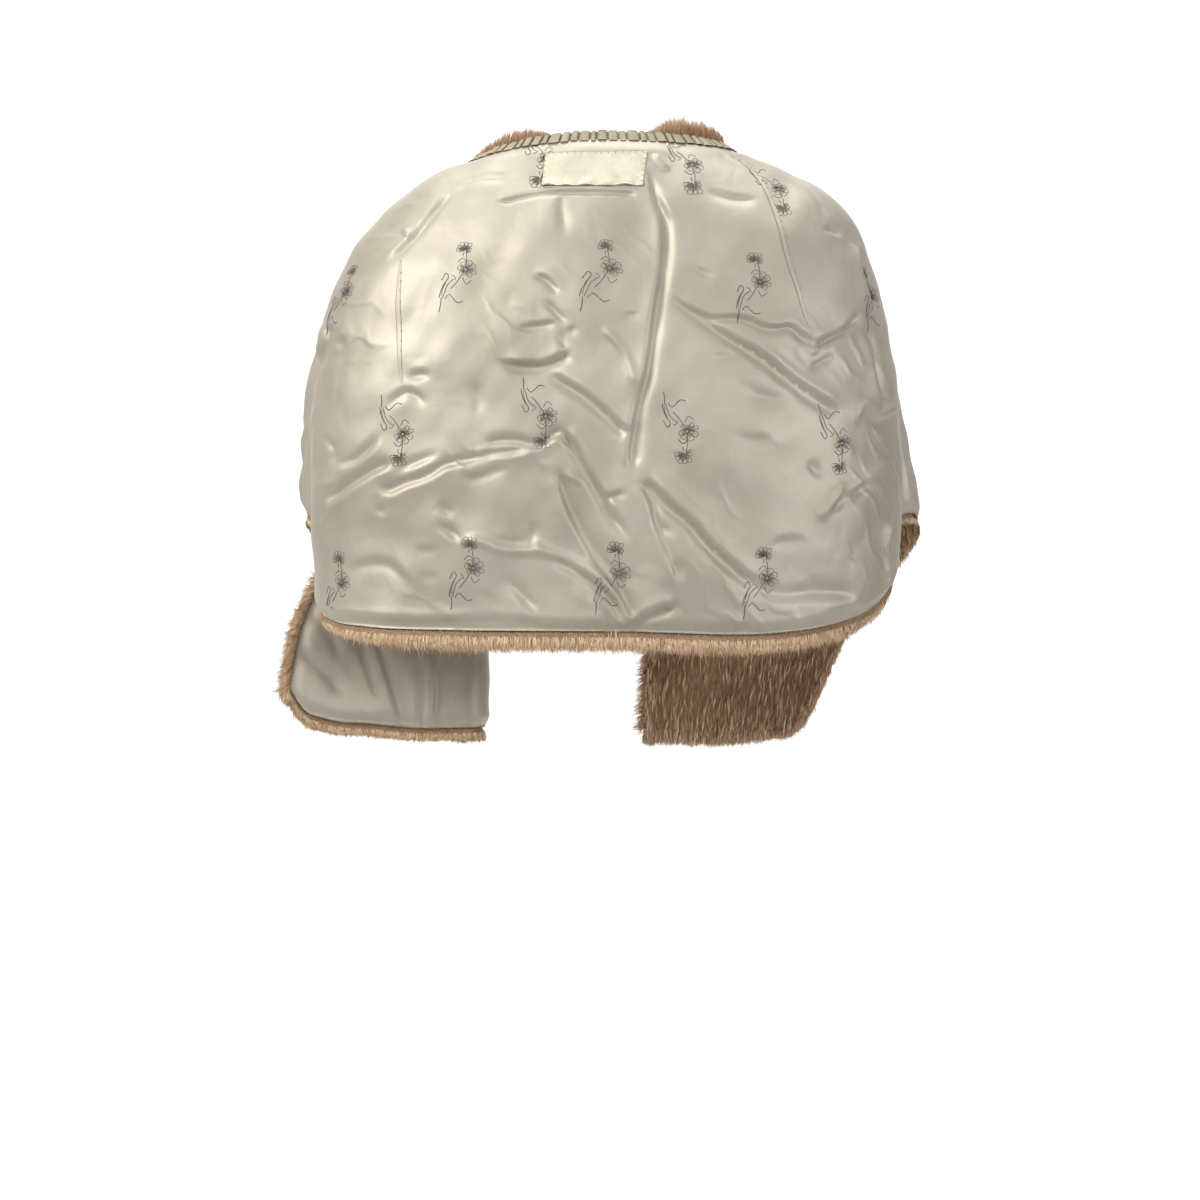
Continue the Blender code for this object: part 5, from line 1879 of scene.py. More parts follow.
    def coat(self, pelt: Pelt, seed: int) -> None:
        """Grows a pelt's inner coat and the fringes past its edges.

        Args:
            pelt: the pelt.
            seed: the coat's seed.
        """
        hairs = Hairs(seed)
        draw, skin = hairs.random, pelt.skin
        rows, columns = skin.points.shape[:2]
        count = int(self.area_of(skin.points) / self.inner_spacing**2)
        column, row = draw.random(count) * (columns - 1), draw.random(count) * (rows - 1)
        roots, normals, downward = skin.at(column, row, -skin.inner_depth + self.root_depth)
        hem, _, _ = skin.at(column, np.full(count, rows - 1 - SHY), -skin.inner_depth)
        reach = np.linalg.norm(hem - roots, axis=-1)
        scale = np.clip((reach + 0.002) / self.inner_nap.length, 0.25, 1.0)
        hairs.grow(roots, -normals, downward, self.inner_nap, self.inner_pale, scale)
        count = int(running_length(skin.points[-1])[-1] / MM * self.hairs_per_mm)
        column = draw.random(count) * (columns - 1)
        row = draw.random(count) ** self.outer_crowd * (rows - 0.75 - skin.edge_rows)
        row = np.clip(skin.edge_rows - 0.25 + row, 0, rows - 1 - SHY)
        self.fringe(hairs, skin, column, row, False)
        if pelt.edge_fringe:
            rim = len(self.rim_shares)
            count = int(running_length(skin.points[:, -1])[-1] / MM * self.hairs_per_mm)
            column = columns - 1 - rim + draw.random(count) ** self.outer_crowd * rim
            self.fringe(hairs, skin, column, draw.random(count) * skin.edge_rows, True)
        hairs.piece(f"{pelt.name}_hair", self.hair)

    def fringe(self, hairs: Hairs, skin: Skin, column: Array, row: Array, ahead: bool) -> None:
        """Grows a rim's hairs on the skin's outer side.

        Args:
            hairs: the coat.
            skin: the skin.
            column: fractions of the columns.
            row: fractions of the rows.
            ahead: whether they point past the front edge and not down past the hem.
        """
        outer, _ = skin.offsets()
        rows, columns = outer.shape
        r = np.clip(row.astype(int), 0, rows - 2)
        c = np.clip(column.astype(int), 0, columns - 2)
        roots, normals, lay = skin.at(column, row, outer[r, c] - 0.0003)
        if ahead:
            lay = unit(unit(np.gradient(skin.points, axis=1))[r, c] + 0.75 * lay)
            first, last = columns - 1 - len(self.rim_shares), columns - 1 - SHY
            ends = [(np.full(len(row), float(place)), row) for place in (first, last)]
        else:
            ends = [(column, np.full(len(row), float(place)))
                    for place in (skin.edge_rows, rows - 1 - SHY)]
        start, end = (skin.at(*places, 0.0)[0] for places in ends)
        shown = np.linalg.norm(end - start, axis=-1) * self.overhang[ahead]
        gone = np.linalg.norm(roots - start, axis=-1)
        scale = np.clip((shown - gone) / self.rim_nap.length, *self.fringe_scale)
        top, under, guard = self.rim_pale
        hairs.grow(roots, normals, lay, self.rim_nap, top, scale)
        hairs.grow(roots - normals * 0.003, -0.3 * normals, lay, self.rim_nap, under, scale)
        few = slice(None, None, self.guard_every)
        hairs.grow(roots[few], normals[few], lay[few], self.guard_nap, guard, 1.25 * scale[few])

    @staticmethod
    def area_of(points: Array) -> float:
        """Area of a grid's surface."""
        along, downward = np.diff(points, axis=1)[:-1], np.diff(points, axis=0)[:, :-1]
        return float(np.linalg.norm(np.cross(along, downward), axis=-1).sum())

    def build_skin(self, pelt: Pelt) -> None:
        """Builds one skin.

        Args:
            pelt: its pelt.
        """
        skin = pelt.skin
        sides = [skin.points + skin.normals * side[..., None] for side in skin.offsets()]
        mesh = shell(*sides, 1)
        if pelt.turned:
            mesh.turn_over()
        piece = mesh.piece(f"{pelt.name}_skin")
        dress(piece, self.skin.material(), Slot.FUR, f"pelt_{pelt.name}")

    def build(self) -> None:
        """Builds every skin with its coat."""
        left, right = Side
        pelts = (
            Pelt("back_left", self.back_skin(left), (0.37, 0.55), 0.168),
            Pelt("back_right", self.back_skin(right), (0.37, 0.55), 0.168),
            Pelt("left_front", self.front_skin(left, False), (0.25, 0.60), 0.089, True),
            Pelt("right_front", self.front_skin(right, True), (0.33, 0.61), 0.137, False, True),
            Pelt("left_facing", self.facing_skin(), (0.25, 0.38), 0.074, True, True, Held.FOLDED),
        )
        for number, pelt in enumerate(pelts):
            self.build_skin(pelt)
            self.coat(pelt, self.first_seed + number)


@dataclass
class Collar:
    """The rolled fur collar behind the ribbon.

    A band of its hair is given by its first and last corner of the section, whether it
    stands up, its hairs per millimetre and its share of pale ones.
    """

    pelt_inner: float = 0.0128
    gap: float = 0.0003
    thickness: float = 0.0115
    taper: float = 0.0030
    slack: float = 0.0016
    rise: float = 1.6
    face: float = 0.0020
    crest_outer: float = 0.0055
    crest_inner: float = 0.0145
    bald: float = 0.0022
    stations: int = 150
    seed: int = 211
    hair_bands: tuple[tuple[float, float, bool, int, float], ...] = (
        (13.0, 17.6, True, 36, 0.75), (10.6, 13.0, True, 20, 0.70), (6.0, 10.6, False, 13, 0.45),
    )
    nap: Nap = Nap(0.0090, 0.00050, 0.10, 0.05, 0.34, True, 0.25, 0.0045)
    roll_nap: Nap = Nap(0.0150, 0.0012, 0.45, 0.03, 0.2, slender=True)
    skin: SkinFinish = SkinFinish()
    hair: HairFinish = HairFinish("collar_hair", pale=(0.850, 0.640, 0.430),
                                  brown=(0.480, 0.310, 0.190), tip=(0.700, 0.550, 0.400))

    def above_neck(self, bearing: Array, height: Array, offset: Array, rise: float) -> Array:
        """Points past the neckline and off its outside."""
        edge, below = FORM.point(bearing, 0.0), FORM.point(bearing, 0.05)
        up = unit(unit(edge - below) + np.array([0, 0, rise]))
        height, offset = np.broadcast_arrays(height, offset)
        normal = outward(FORM.point, bearing, np.full(bearing.shape, STEP))
        return edge + up * height[..., None] + normal * offset[..., None]

    def on_form(self, bearing: Array, level: Array, offset: float) -> Array:
        """Points off the form's outside."""
        return FORM.point(bearing, level) + outward(FORM.point, bearing, level) * offset

    def neck(self) -> Array:
        """Bearings along the collar, from the left front round to the right."""
        ends = [float(FORM.front_edge(side, np.array(0.0))) for side in Side]
        return np.linspace(*ends, self.stations)

    def sections(self) -> Array:
        """Works out the collar's sections.

        Returns:
            An array of open sections, one at each of its bearings.
        """
        neck = self.neck()
        inside = -(self.pelt_inner + self.gap)
        far = inside - self.thickness + self.bald
        height = COLLAR_HEIGHT.smooth("height", np.degrees(neck)) - self.bald * 0.5
        level = FORM.hem_level(neck)
        rows = (
            self.above_neck(neck, self.gap, inside, 0.0),
            self.on_form(neck, 0.10 * level, inside - self.slack),
            self.on_form(neck, 0.19 * level, inside - self.taper),
            self.on_form(neck, 0.19 * level, far + 0.002),
            self.on_form(neck, 0.10 * level, far - self.slack + 0.001),
            self.above_neck(neck, 0.5 * height, far + self.taper, self.rise),
            self.above_neck(neck, height, -self.crest_inner, self.rise),
            self.above_neck(neck, height, -self.crest_outer, self.rise),
            self.above_neck(neck, 0.55 * height, -self.face, self.rise),
            self.above_neck(neck, self.gap, -self.face, 0.0),
        )
        return np.stack(rows, axis=1)

    def build(self) -> None:
        """Builds the roll and its hair."""
        sections = self.sections()
        closed = np.concatenate([sections, sections[:, :1]], axis=1)
        smooth = np.stack([self.rounded(section) for section in closed])
        count, corners = smooth.shape[:2]
        index = np.arange(count * corners).reshape(count, corners)
        turned = np.roll(index, -1, axis=1)
        quads = np.stack([index[:-1], turned[:-1], turned[1:], index[1:]], -1).reshape(-1, 4)
        mesh = Joined()
        mesh.add(smooth.reshape(-1, 3), (quads,))
        for row, flip in ((0, 1), (count - 1, -1)):
            fan = np.stack(
                [np.full(corners - 2, index[row, 0]), index[row, 1:-1], index[row, 2:]], -1
            )
            mesh.faces.setdefault(3, []).append(fan[:, ::-flip])
        dress(mesh.piece("collar_skin"), self.skin.material(), Slot.FUR, "fur_collar")
        self.grow(smooth)

    def rounded(self, section: Array) -> Array:
        """A section with twice as many corners, cut round."""
        first = section[:-1] * 0.75 + section[1:] * 0.25
        second = section[:-1] * 0.25 + section[1:] * 0.75
        return np.stack([first, second], axis=1).reshape(-1, 3)

    def grow(self, smooth: Array) -> None:
        """Grows the hair: up over the crest, then down the inside.

        Args:
            smooth: the roll's sections.
        """
        hairs = Hairs(self.seed)
        draw = hairs.random
        count = len(smooth)
        middle = smooth.mean(axis=1, keepdims=True)
        upward = np.array([0, 0, 1.0])
        run = running_length(middle[:, 0])[-1]
        heights = COLLAR_HEIGHT.smooth("height", np.degrees(self.neck()))
        for first, last, upright, per_mm, pale in self.hair_bands:
            number = int(run / MM * per_mm)
            station, corner = draw.random(number) * (count - 1), draw.uniform(first, last, number)
            between = read_grid(smooth.shape, corner, station)
            roots = between(smooth)
            out = unit(between(smooth - middle))
            if upright:
                height = np.interp(station, np.arange(count), heights)
                scale = np.clip((height - 0.0015) / 0.0085, 0.12, 1.35)
                hairs.grow(roots, out, unit(upward + 0.5 * out), self.nap, pale, scale)
            else:
                hairs.grow(roots, out, unit(out * 0.4 - upward), self.roll_nap, pale)
        hairs.piece("collar_hair", self.hair)


# ---------------------------------------------------------------- trims


@dataclass
class NeckRibbon:
    """The box-pleated ribbon along the neckline."""

    pleats: int = 40
    reach: float = math.radians(112)
    top: float = 0.0018
    height: float = 0.0115
    cut: tuple[float, float] = (0.92, 0.012)
    gap: float = 0.0012
    thickness: float = 0.00028
    rise: float = 0.0030
    under: float = 0.0024
    uneven: tuple[float, float] = (0.0013, 0.0008)
    rows: int = 8
    finish: RibbonFinish = RibbonFinish()

    def path(self, run: float) -> tuple[Array, Array, Array]:
        """The ribbon's course along the neckline.

        Args:
            run: the neckline's length under the ribbon.

        Returns:
            Distances along it, heights off the cloth, and each point's pleat.
        """
        pitch = run / self.pleats
        number = np.arange(self.pleats + 1)
        broad, fine = self.uneven
        borders = number * pitch + broad * np.sin(number * 2.4) + fine * np.sin(number * 5.3)
        borders[0], borders[-1] = 0.0, run
        along, heights, pleat = [], [], []
        for i, (start, end) in enumerate(zip(borders[:-1], borders[1:])):
            start, end = start + self.gap, end - self.gap
            top = self.rise * (0.86 + 0.14 * math.sin(i * 1.7))
            width = end - start
            along += [
                start + self.under, start + 0.0002, start - 0.0002, start + 0.0005,
                start + 0.25 * width, start + 0.5 * width, start + 0.75 * width,
                end - 0.0005, end + 0.0002, end - 0.0002, end - self.under,
            ]
            heights += [
                0.05 * top, 0.12 * top, 0.62 * top, 0.95 * top, 1.04 * top, 1.08 * top,
                1.04 * top, 0.95 * top, 0.62 * top, 0.12 * top, 0.05 * top,
            ]
            pleat += [i] * 11
        return np.array(along), np.array(heights), np.array(pleat)

    def build(self) -> None:
        """Builds the ribbon over the neckline's seam."""
        fine = np.linspace(-self.reach, self.reach, 900)
        neck = FORM.point(fine, 0.0)
        run = running_length(neck)
        along, heights, pleat = self.path(run[-1])
        bearing = np.interp(along, run, fine)
        edge, below = FORM.point(bearing, 0.0), FORM.point(bearing, 0.05)
        up = unit(edge - below)
        normal = outward(FORM.point, bearing, np.full(bearing.shape, STEP))
        share = np.linspace(0, 1, self.rows)
        wobble = 0.0005 * np.sin(pleat * 2.1) + 0.0003 * np.sin(pleat * 4.7)
        reach_down = self.height - self.top
        outer, inner = [], []
        for s in share:
            fall = s * reach_down - self.top * (1 - s) + wobble
            points, normals = self.course(bearing, fall, up, normal)
            lift = 0.0004 + heights * (1 - 0.25 * s) + 0.0007 * s
            outer.append(points + normals * (lift + self.thickness)[:, None])
            inner.append(points + normals * lift[:, None])
        mesh = shell(np.stack(outer), np.stack(inner), 1)
        piece = dress(mesh.piece("pleated_ribbon"), self.finish.material(), Slot.RIBBON,
                      "neck_ribbon")
        length = float(running_length(np.stack(outer)[self.rows // 2]).max())
        LOG.info("ribbon runs %.3f m", length)

    def course(self, bearing: Array, fall: Array, up: Array,
               normal: Array) -> tuple[Array, Array]:
        """One line of points along the ribbon.

        Args:
            bearing: their bearings.
            fall: how far below the neckline they lie, above it where negative.
            up: the direction past the neckline at each.
            normal: the outward normals above the neckline.

        Returns:
            Points on the form and their outward normals.
        """
        shares = np.linspace(0, 0.1, 40)
        level = np.zeros(bearing.shape)
        columns = FORM.point(bearing[None], shares[:, None] * FORM.hem_level(bearing)[None])
        steps = np.linalg.norm(np.diff(columns, axis=0), axis=-1)
        runs = np.concatenate([np.zeros((1, len(bearing))), np.cumsum(steps, axis=0)])
        for i in range(len(bearing)):
            level[i] = np.interp(max(fall[i], 0), runs[:, i], shares)
        level = level * FORM.hem_level(bearing)
        points = FORM.point(bearing, level) + up * np.maximum(-fall, 0)[:, None]
        turned = outward(FORM.point, bearing, np.maximum(level, STEP))
        return points, np.where((fall > 0)[:, None], turned, normal)


@dataclass
class NeckLabel:
    """The bare cream label at the centre back."""

    corners: tuple[tuple[float, float], ...] = (
        (-57.5, 26.0), (40.0, 25.0), (35.5, 61.5), (-61.0, 59.5),
    )
    thickness: float = 0.00035
    clearance: float = 0.0007
    waves: float = 5.2
    wave_lift: float = 0.0016
    wave_drop: float = 0.0007
    settling: int = 10
    steps: tuple[int, int] = (72, 26)
    cut: tuple[float, float] = (0.099, 0.042)
    finish: LabelFinish = LabelFinish()
    stitch: Thread = Thread(0.0005, 0.0003)

    def build(self, back: LooseCloth) -> None:
        """Lays the label over the back lining.

        Args:
            back: the back lining.
        """
        u, v = np.meshgrid(*(np.linspace(0, 1, steps + 1) for steps in self.steps))
        corner = np.array(self.corners) * MM
        place = (
            corner[0] * ((1 - u) * (1 - v))[..., None] + corner[1] * (u * (1 - v))[..., None]
            + corner[2] * (u * v)[..., None] + corner[3] * ((1 - u) * v)[..., None]
        )
        bearing, share = FORM.on_back(place[..., 0], place[..., 1])
        column, row = back.panel.index_of(bearing, share)
        wave, loose = np.sin(u * self.waves * math.pi + 0.6), smoothstep((v - 0.7) / 0.3)
        buckle = 0.0005 * np.sin(7 * u + 3 * v) * np.sin(math.pi * v)
        lift = self.clearance + (self.wave_lift * (np.abs(wave) ** 1.3 * loose) + buckle)
        points, normals = self.settled(back.panel, column, row)
        outer = points + normals * (lift + self.thickness)[..., None]
        inner = points + normals * lift[..., None]
        outer[..., 2] += self.wave_drop * (wave * loose)
        mesh = shell(outer, inner, 1)
        piece = dress(mesh.piece("neck_label"), self.finish.material(), Slot.LABEL, "label")
        self.tack(outer, normals)

    def settled(self, panel: Panel, column: Array, row: Array) -> tuple[Array, Array]:
        """The lining's surface under the label, with its small puckers bridged."""
        points, normals = panel.at(column, row)
        for _ in range(self.settling):
            padded = np.pad(points, ((1, 1), (1, 1), (0, 0)), mode="reflect", reflect_type="odd")
            mean = (padded[:-2, 1:-1] + padded[2:, 1:-1] + padded[1:-1, :-2] + padded[1:-1, 2:]) / 4
            lifted = ((mean - points) * normals).sum(-1, keepdims=True)
            points = points + normals * np.maximum(lifted, 0)
        return points, normals

    def tack(self, outer: Array, normals: Array) -> None:
        """Tacks down the label's edge.

        Args:
            outer: the grid of the label's outer side.
            normals: the outward normals there.
        """
        mesh = Joined()
        sides = (
            (outer[0], outer[2], normals[0], 15), (outer[-1], outer[-3], normals[-1], 7),
            (outer[:, 0], outer[:, 2], normals[:, 0], 6),
            (outer[:, -1], outer[:, -3], normals[:, -1], 6),
        )
        for edges, insides, around, count in sides:
            for i in range(count):
                at = int((i + 0.5) / count * (len(edges) - 1))
                edge, inside, n = edges[at], insides[at], around[at]
                out = edge + unit(edge - inside) * 0.0012 - n * 0.0009
                line = np.stack([out, edge + n * 0.00012, inside + n * 0.0001])
                self.stitch.lay(mesh, line, np.stack([n, n, n]))
        finish = ThreadFinish("label_thread", (0.66, 0.60, 0.47), (0.50, 0.44, 0.33))
        dress(mesh.piece("label_stitches"), finish.material(), None)


@dataclass(frozen=True)
class Dart:
    """A stitched dart: its line seen from behind, in millimetres, and its widest fold."""

    line: tuple[tuple[float, float], ...]
    width: float
    pricks: int


@dataclass
class Darts:
    """The back lining's two shoulder darts."""

    darts: tuple[Dart, ...] = (
        Dart(((-195, 132), (-195.5, 170), (-195, 210), (-194, 254)), 5.0, 9),
        Dart(((131, 29), (141, 38), (150, 49), (158, 61), (164, 75), (170, 96), (175, 120),
              (181, 142), (187, 162), (192, 182), (197, 198), (200, 207)), 5.5, 16),
    )
    lifts: tuple[float, ...] = (0.10, 0.45, 0.75, 0.85, 0.60)
    shares: tuple[float, ...] = (1.0, 0.6, 0.25, 0.06, 0.0)
    thickness: float = 0.00045
    prick: Thread = Thread(0.0005, 0.0003)

    def build(self, back: LooseCloth, satin: SatinFinish) -> bpy.types.Object:
        """Builds the folds with their stitches.

        Args:
            back: the back lining.
            satin: its satin.

        Returns:
            The folds, one piece.
        """
        folds, threads = Joined(), Joined()
        panel = back.panel
        for dart in self.darts:
            line = curve_through(dart.line, 2.0)
            count = len(line)
            taper = np.sin(math.pi * np.linspace(0.04, 0.96, count)) ** 0.6
            along = unit(np.gradient(line, axis=0))
            aside = np.stack([-along[:, 1], along[:, 0]], axis=1)
            outer, inner = [], []
            for share, lift in zip(self.shares, self.lifts):
                place = (line + aside * (share * dart.width * taper)[:, None]) * MM
                bearing, down = FORM.on_back(place[:, 0], place[:, 1])
                height = lift * MM * (0.3 + 0.7 * taper)
                points, normals = panel.at(*panel.index_of(bearing, down), height)
                outer.append(points)
                inner.append(points - normals * (self.thickness * (0.4 + 0.6 * taper))[:, None])
            mesh = shell(np.stack(outer, axis=1), np.stack(inner, axis=1), 1)
            mesh.turn_over()
            faces = [group for groups in mesh.faces.values() for group in groups]
            folds.add(mesh.points[0], faces)
            self.stitch(threads, panel, line, aside, dart)
        finish = ThreadFinish("dart_thread", (0.30, 0.26, 0.20), (0.17, 0.14, 0.11))
        dress(threads.piece("dart_stitches"), finish.material(), None)
        return dress(folds.piece("back_darts"), satin.material(), Slot.SATIN)

    def stitch(self, mesh: Joined, panel: Panel, line: Array, aside: Array, dart: Dart) -> None:
        """Pricks small stitches beside a dart's fold.

        Args:
            mesh: what they are added to.
            panel: the back lining's panel.
            line: the dart's line, in millimetres.
            aside: the direction of its fold at each point.
            dart: the dart.
        """
        for i in range(dart.pricks):
            at = int((0.06 + 0.72 * (i + 0.5) / dart.pricks) * (len(line) - 2))
            start = line[at] + aside[at] * 0.9
            end = line[at] - aside[at] * (0.6 + 0.3 * math.sin(i * 2.1))
            end = end + (line[at + 1] - line[at]) * 0.4
            place = np.stack([start, (start + end) / 2, end]) * MM
            bearing, down = FORM.on_back(place[:, 0], place[:, 1])
            lift = np.array([0.0009, 0.0009, 0.0002])
            points, normals = panel.at(*panel.index_of(bearing, down), lift)
            self.prick.lay(mesh, points, normals)


# ---------------------------------------------------------------- sprays


Stroke = tuple[Array, float]


@dataclass(frozen=True)
class Spray:
    """A drawn flower spray, in millimetres right and up from its centre."""

    flipped: bool = False

    def petal(self, heart: Array, angle: float, length: float, width: float,
              veins: int) -> list[Stroke]:
        """A petal with a frilled tip, and short veins from its foot.

        Args:
            heart: the blossom's middle.
            angle: where it points, in degrees.
            length: its length.
            width: its width.
            veins: how many veins it has.

        Returns:
            Its strokes.
        """
        turn = math.radians(angle)
        ahead = np.array([math.cos(turn), math.sin(turn)])
        aside = np.array([-ahead[1], ahead[0]])
        outline = np.array([
            (0.10, 0.0), (0.45, 0.36), (0.76, 0.50), (0.97, 0.30), (0.88, 0.10), (1.0, -0.06),
            (0.86, -0.42), (0.50, -0.40), (0.12, -0.04),
        ])
        line = heart + outline[:, :1] * length * ahead + outline[:, 1:] * width * aside
        strokes: list[Stroke] = [(line, 0.5)]
        for vein in range(veins):
            slant = (vein - (veins - 1) / 2) * 0.30
            foot = heart + ahead * length * 0.18 + aside * width * slant * 0.4
            tip = heart + ahead * length * (0.62 + 0.1 * (vein % 2)) + aside * width * slant
            strokes.append((np.stack([foot, tip]), 0.5))
        return strokes

    def blossom(self, heart: tuple[float, float],
                petals: Sequence[tuple[float, float, float, int]]) -> list[Stroke]:
        """A blossom from its petals' angles, lengths, widths and veins."""
        strokes: list[Stroke] = []
        for angle, length, width, veins in petals:
            strokes += self.petal(np.array(heart, float), angle, length, width, veins)
        return strokes

    def strokes(self) -> list[Stroke]:
        """Draws the whole spray.

        Returns:
            Its strokes, each a line and the thread's width.
        """
        drawn = self.blossom((4, 23), (
            (166, 10, 5.0, 3), (142, 11, 5.0, 3), (116, 12, 5.2, 3), (90, 11, 4.6, 2),
            (58, 11, 5.0, 2), (16, 7, 3.2, 1), (-20, 6, 2.6, 1),
        ))
        drawn += self.blossom((6, 2), (
            (158, 8.5, 6.0, 3), (116, 9.0, 6.0, 2), (62, 11, 6.4, 2), (22, 11.5, 6.0, 3),
            (-18, 12, 4.2, 2), (-52, 10, 4.6, 4), (-96, 6, 3.6, 2), (-138, 7.5, 4.4, 2),
        ))
        for places, width in (
            (((5, 22), (6.4, 15), (6.4, 8)), 0.7),
            (((3, 21), (2, 17)), 0.7),
            (((6.3, 11), (2.5, 14.5), (-2.3, 10)), 0.7),
            (((4, -6), (7.5, -12), (12.5, -8.5)), 0.6),
            (((2.5, -4), (-2.3, -11), (-7, -16)), 0.8),
            (((-16.5, -8), (-12, -1.5), (-10, -4), (-14, -12), (-17, -20), (-17.5, -24)), 0.8),
            (((-4.5, -7), (-10, -12), (-13, -20), (-14.4, -24)), 0.7),
            (((-12, -9), (-15, -17), (-15.6, -22)), 0.5),
            (((-7, -3.5), (-3.5, -5), (-3, -8)), 0.6),
            (((-15.5, -24), (-15.4, -31), (-16.4, -36)), 0.9),
            (((-12, -25), (-8, -21), (-4, -24.5), (0, -28), (5, -27)), 0.8),
        ):
            drawn.append((curve_through(places, 1.8), width))
        flip = np.array([1, -1]) if self.flipped else np.array([1, 1])
        return [(line * flip, width) for line, width in drawn]


@dataclass
class Embroidery:
    """The sprays worked over the lining in dark thread, in a half-drop repeat."""

    back_places: tuple[tuple[float, float, bool], ...] = (
        (-63, 28, True), (77, 36, True), (162, 58, True), (-255, 161, False),
        (-140, 144, False), (-2, 144, False), (142, 156, False), (259, 161, False),
        (-200, 298, True), (-63, 282, True), (72, 296, True), (222, 306, True),
        (-258, 445, False), (-132, 431, False), (7, 436, False), (149, 441, False),
    )
    front_places: tuple[tuple[float, float, bool], ...] = (
        (0.50, 0.19, False), (0.30, 0.42, True), (0.86, 0.42, True), (0.16, 0.66, False),
        (0.70, 0.66, False), (0.40, 0.90, True), (0.90, 0.90, True),
    )
    facing_places: tuple[tuple[float, float, bool], ...] = (
        (0.45, 0.30, True), (0.50, 0.62, False), (0.80, 0.78, True),
    )
    lift: float = 0.00022
    height: float = 0.00020
    finish: ThreadFinish = ThreadFinish(
        "spray_thread", (0.270, 0.235, 0.210), (0.140, 0.120, 0.112), 0.6
    )

    def work(self, mesh: Joined, panel: Panel, column: float, row: float, flipped: bool) -> None:
        """Works one spray on a panel.

        Args:
            mesh: what it is added to.
            panel: the panel.
            column: fraction of the columns.
            row: fraction of the rows.
            flipped: whether it is turned upside down.
        """
        chart = panel.chart(column, row)
        rows, columns = panel.points.shape[:2]
        for line, width in Spray(flipped).strokes():
            steps = (curve_points(line, 1.9) * MM) @ chart.T
            place_c, place_r = column + steps[:, 0], row + steps[:, 1]
            inside = (place_c > 1.5) & (place_c < columns - 2.5)
            inside &= (place_r > 6) & (place_r < rows - 5)
            if inside.sum() < 2:
                continue
            points, normals = panel.at(place_c[inside], place_r[inside], self.lift)
            Thread(width * MM, self.height).lay(mesh, points, normals)

    def build(self, cloths: dict[str, LooseCloth]) -> None:
        """Works the sprays of every panel.

        Args:
            cloths: the loose cloths by short names.
        """
        for name, cloth in cloths.items():
            mesh = Joined()
            panel = cloth.panel
            if name == "back":
                for x, drop, flipped in self.back_places:
                    bearing, share = FORM.on_back(np.array(x * MM), np.array(drop * MM))
                    column, row = panel.index_of(bearing, share)
                    self.work(mesh, panel, float(column), float(row), flipped)
            else:
                places = self.facing_places if name == "facing" else self.front_places
                for across, down, flipped in places:
                    column, row = panel.index_of(np.array(across), np.array(down))
                    self.work(mesh, panel, float(column), float(row), flipped)
            dress(mesh.piece(f"{name}_sprays"), self.finish.material(), None)


@dataclass
class HandStitches:
    """Slip stitches that hold the lining's edges to the skins."""

    spacing: float = 0.0052
    reach: float = 0.0026
    stagger: float = 0.0012
    slant: float = 0.0011
    on_satin: float = 0.55
    lift: float = 0.0003
    sink: float = 0.0008
    thread: Thread = Thread(0.00042, 0.00026)

    def build(self, cloths: dict[str, LooseCloth]) -> None:
        """Sews the hems, the right front's edge and the folded stretch's free edge.

        Args:
            cloths: the loose cloths by short names.
        """
        finish = ThreadFinish("sewing_thread", (0.44, 0.39, 0.31), (0.28, 0.24, 0.18))
        for name, cloth in cloths.items():
            mesh = Joined()
            panel = cloth.panel
            rows, columns = panel.points.shape[:2]
            self.sew(mesh, panel, np.stack([np.arange(columns), np.full(columns, rows - 1)], 1))
            if name in ("right", "facing"):
                self.sew(mesh, panel, np.stack([np.full(rows, columns - 1), np.arange(rows)], 1))
            dress(mesh.piece(f"{name}_stitches"), finish.material(), None)

    def sew(self, mesh: Joined, panel: Panel, line: Array) -> None:
        """Sews along one line of a panel's grid.

        Args:
            mesh: what the stitches are added to.
            panel: the panel.
            line: columns and rows of the line's points.
        """
        middle = np.array(panel.points.shape[:2][::-1]) / 2
        points, normals = panel.at(line[:, 0].astype(float), line[:, 1].astype(float))
        run = running_length(points)
        distances = np.arange(self.spacing, run[-1] - self.spacing, self.spacing)
        for i, distance in enumerate(distances):
            shift = distance + self.stagger * math.sin(i * 2.3)
            edge = read_along(points, run, shift)
            normal = unit(read_along(normals, run, shift))
            along = unit(read_along(points, run, shift + 0.002) - edge)
            into = np.cross(normal, along)
            place = read_along(line, run, shift)
            beside = place + np.sign(middle - place) * (line[0] == line[-1])
            inside, _ = panel.at(beside[:1], beside[1:])
            into = into * (1 if (inside[0] - edge) @ into > 0 else -1)
            first = edge + into * self.reach * self.on_satin + normal * self.lift
            last = edge - into * self.reach * (1 - self.on_satin) + along * self.slant
            last = last - normal * self.sink
            stitch = np.stack([first, (first + last) / 2 + normal * self.lift, last])
            self.thread.lay(mesh, stitch, np.stack([normal] * 3))


# ---------------------------------------------------------------- studio


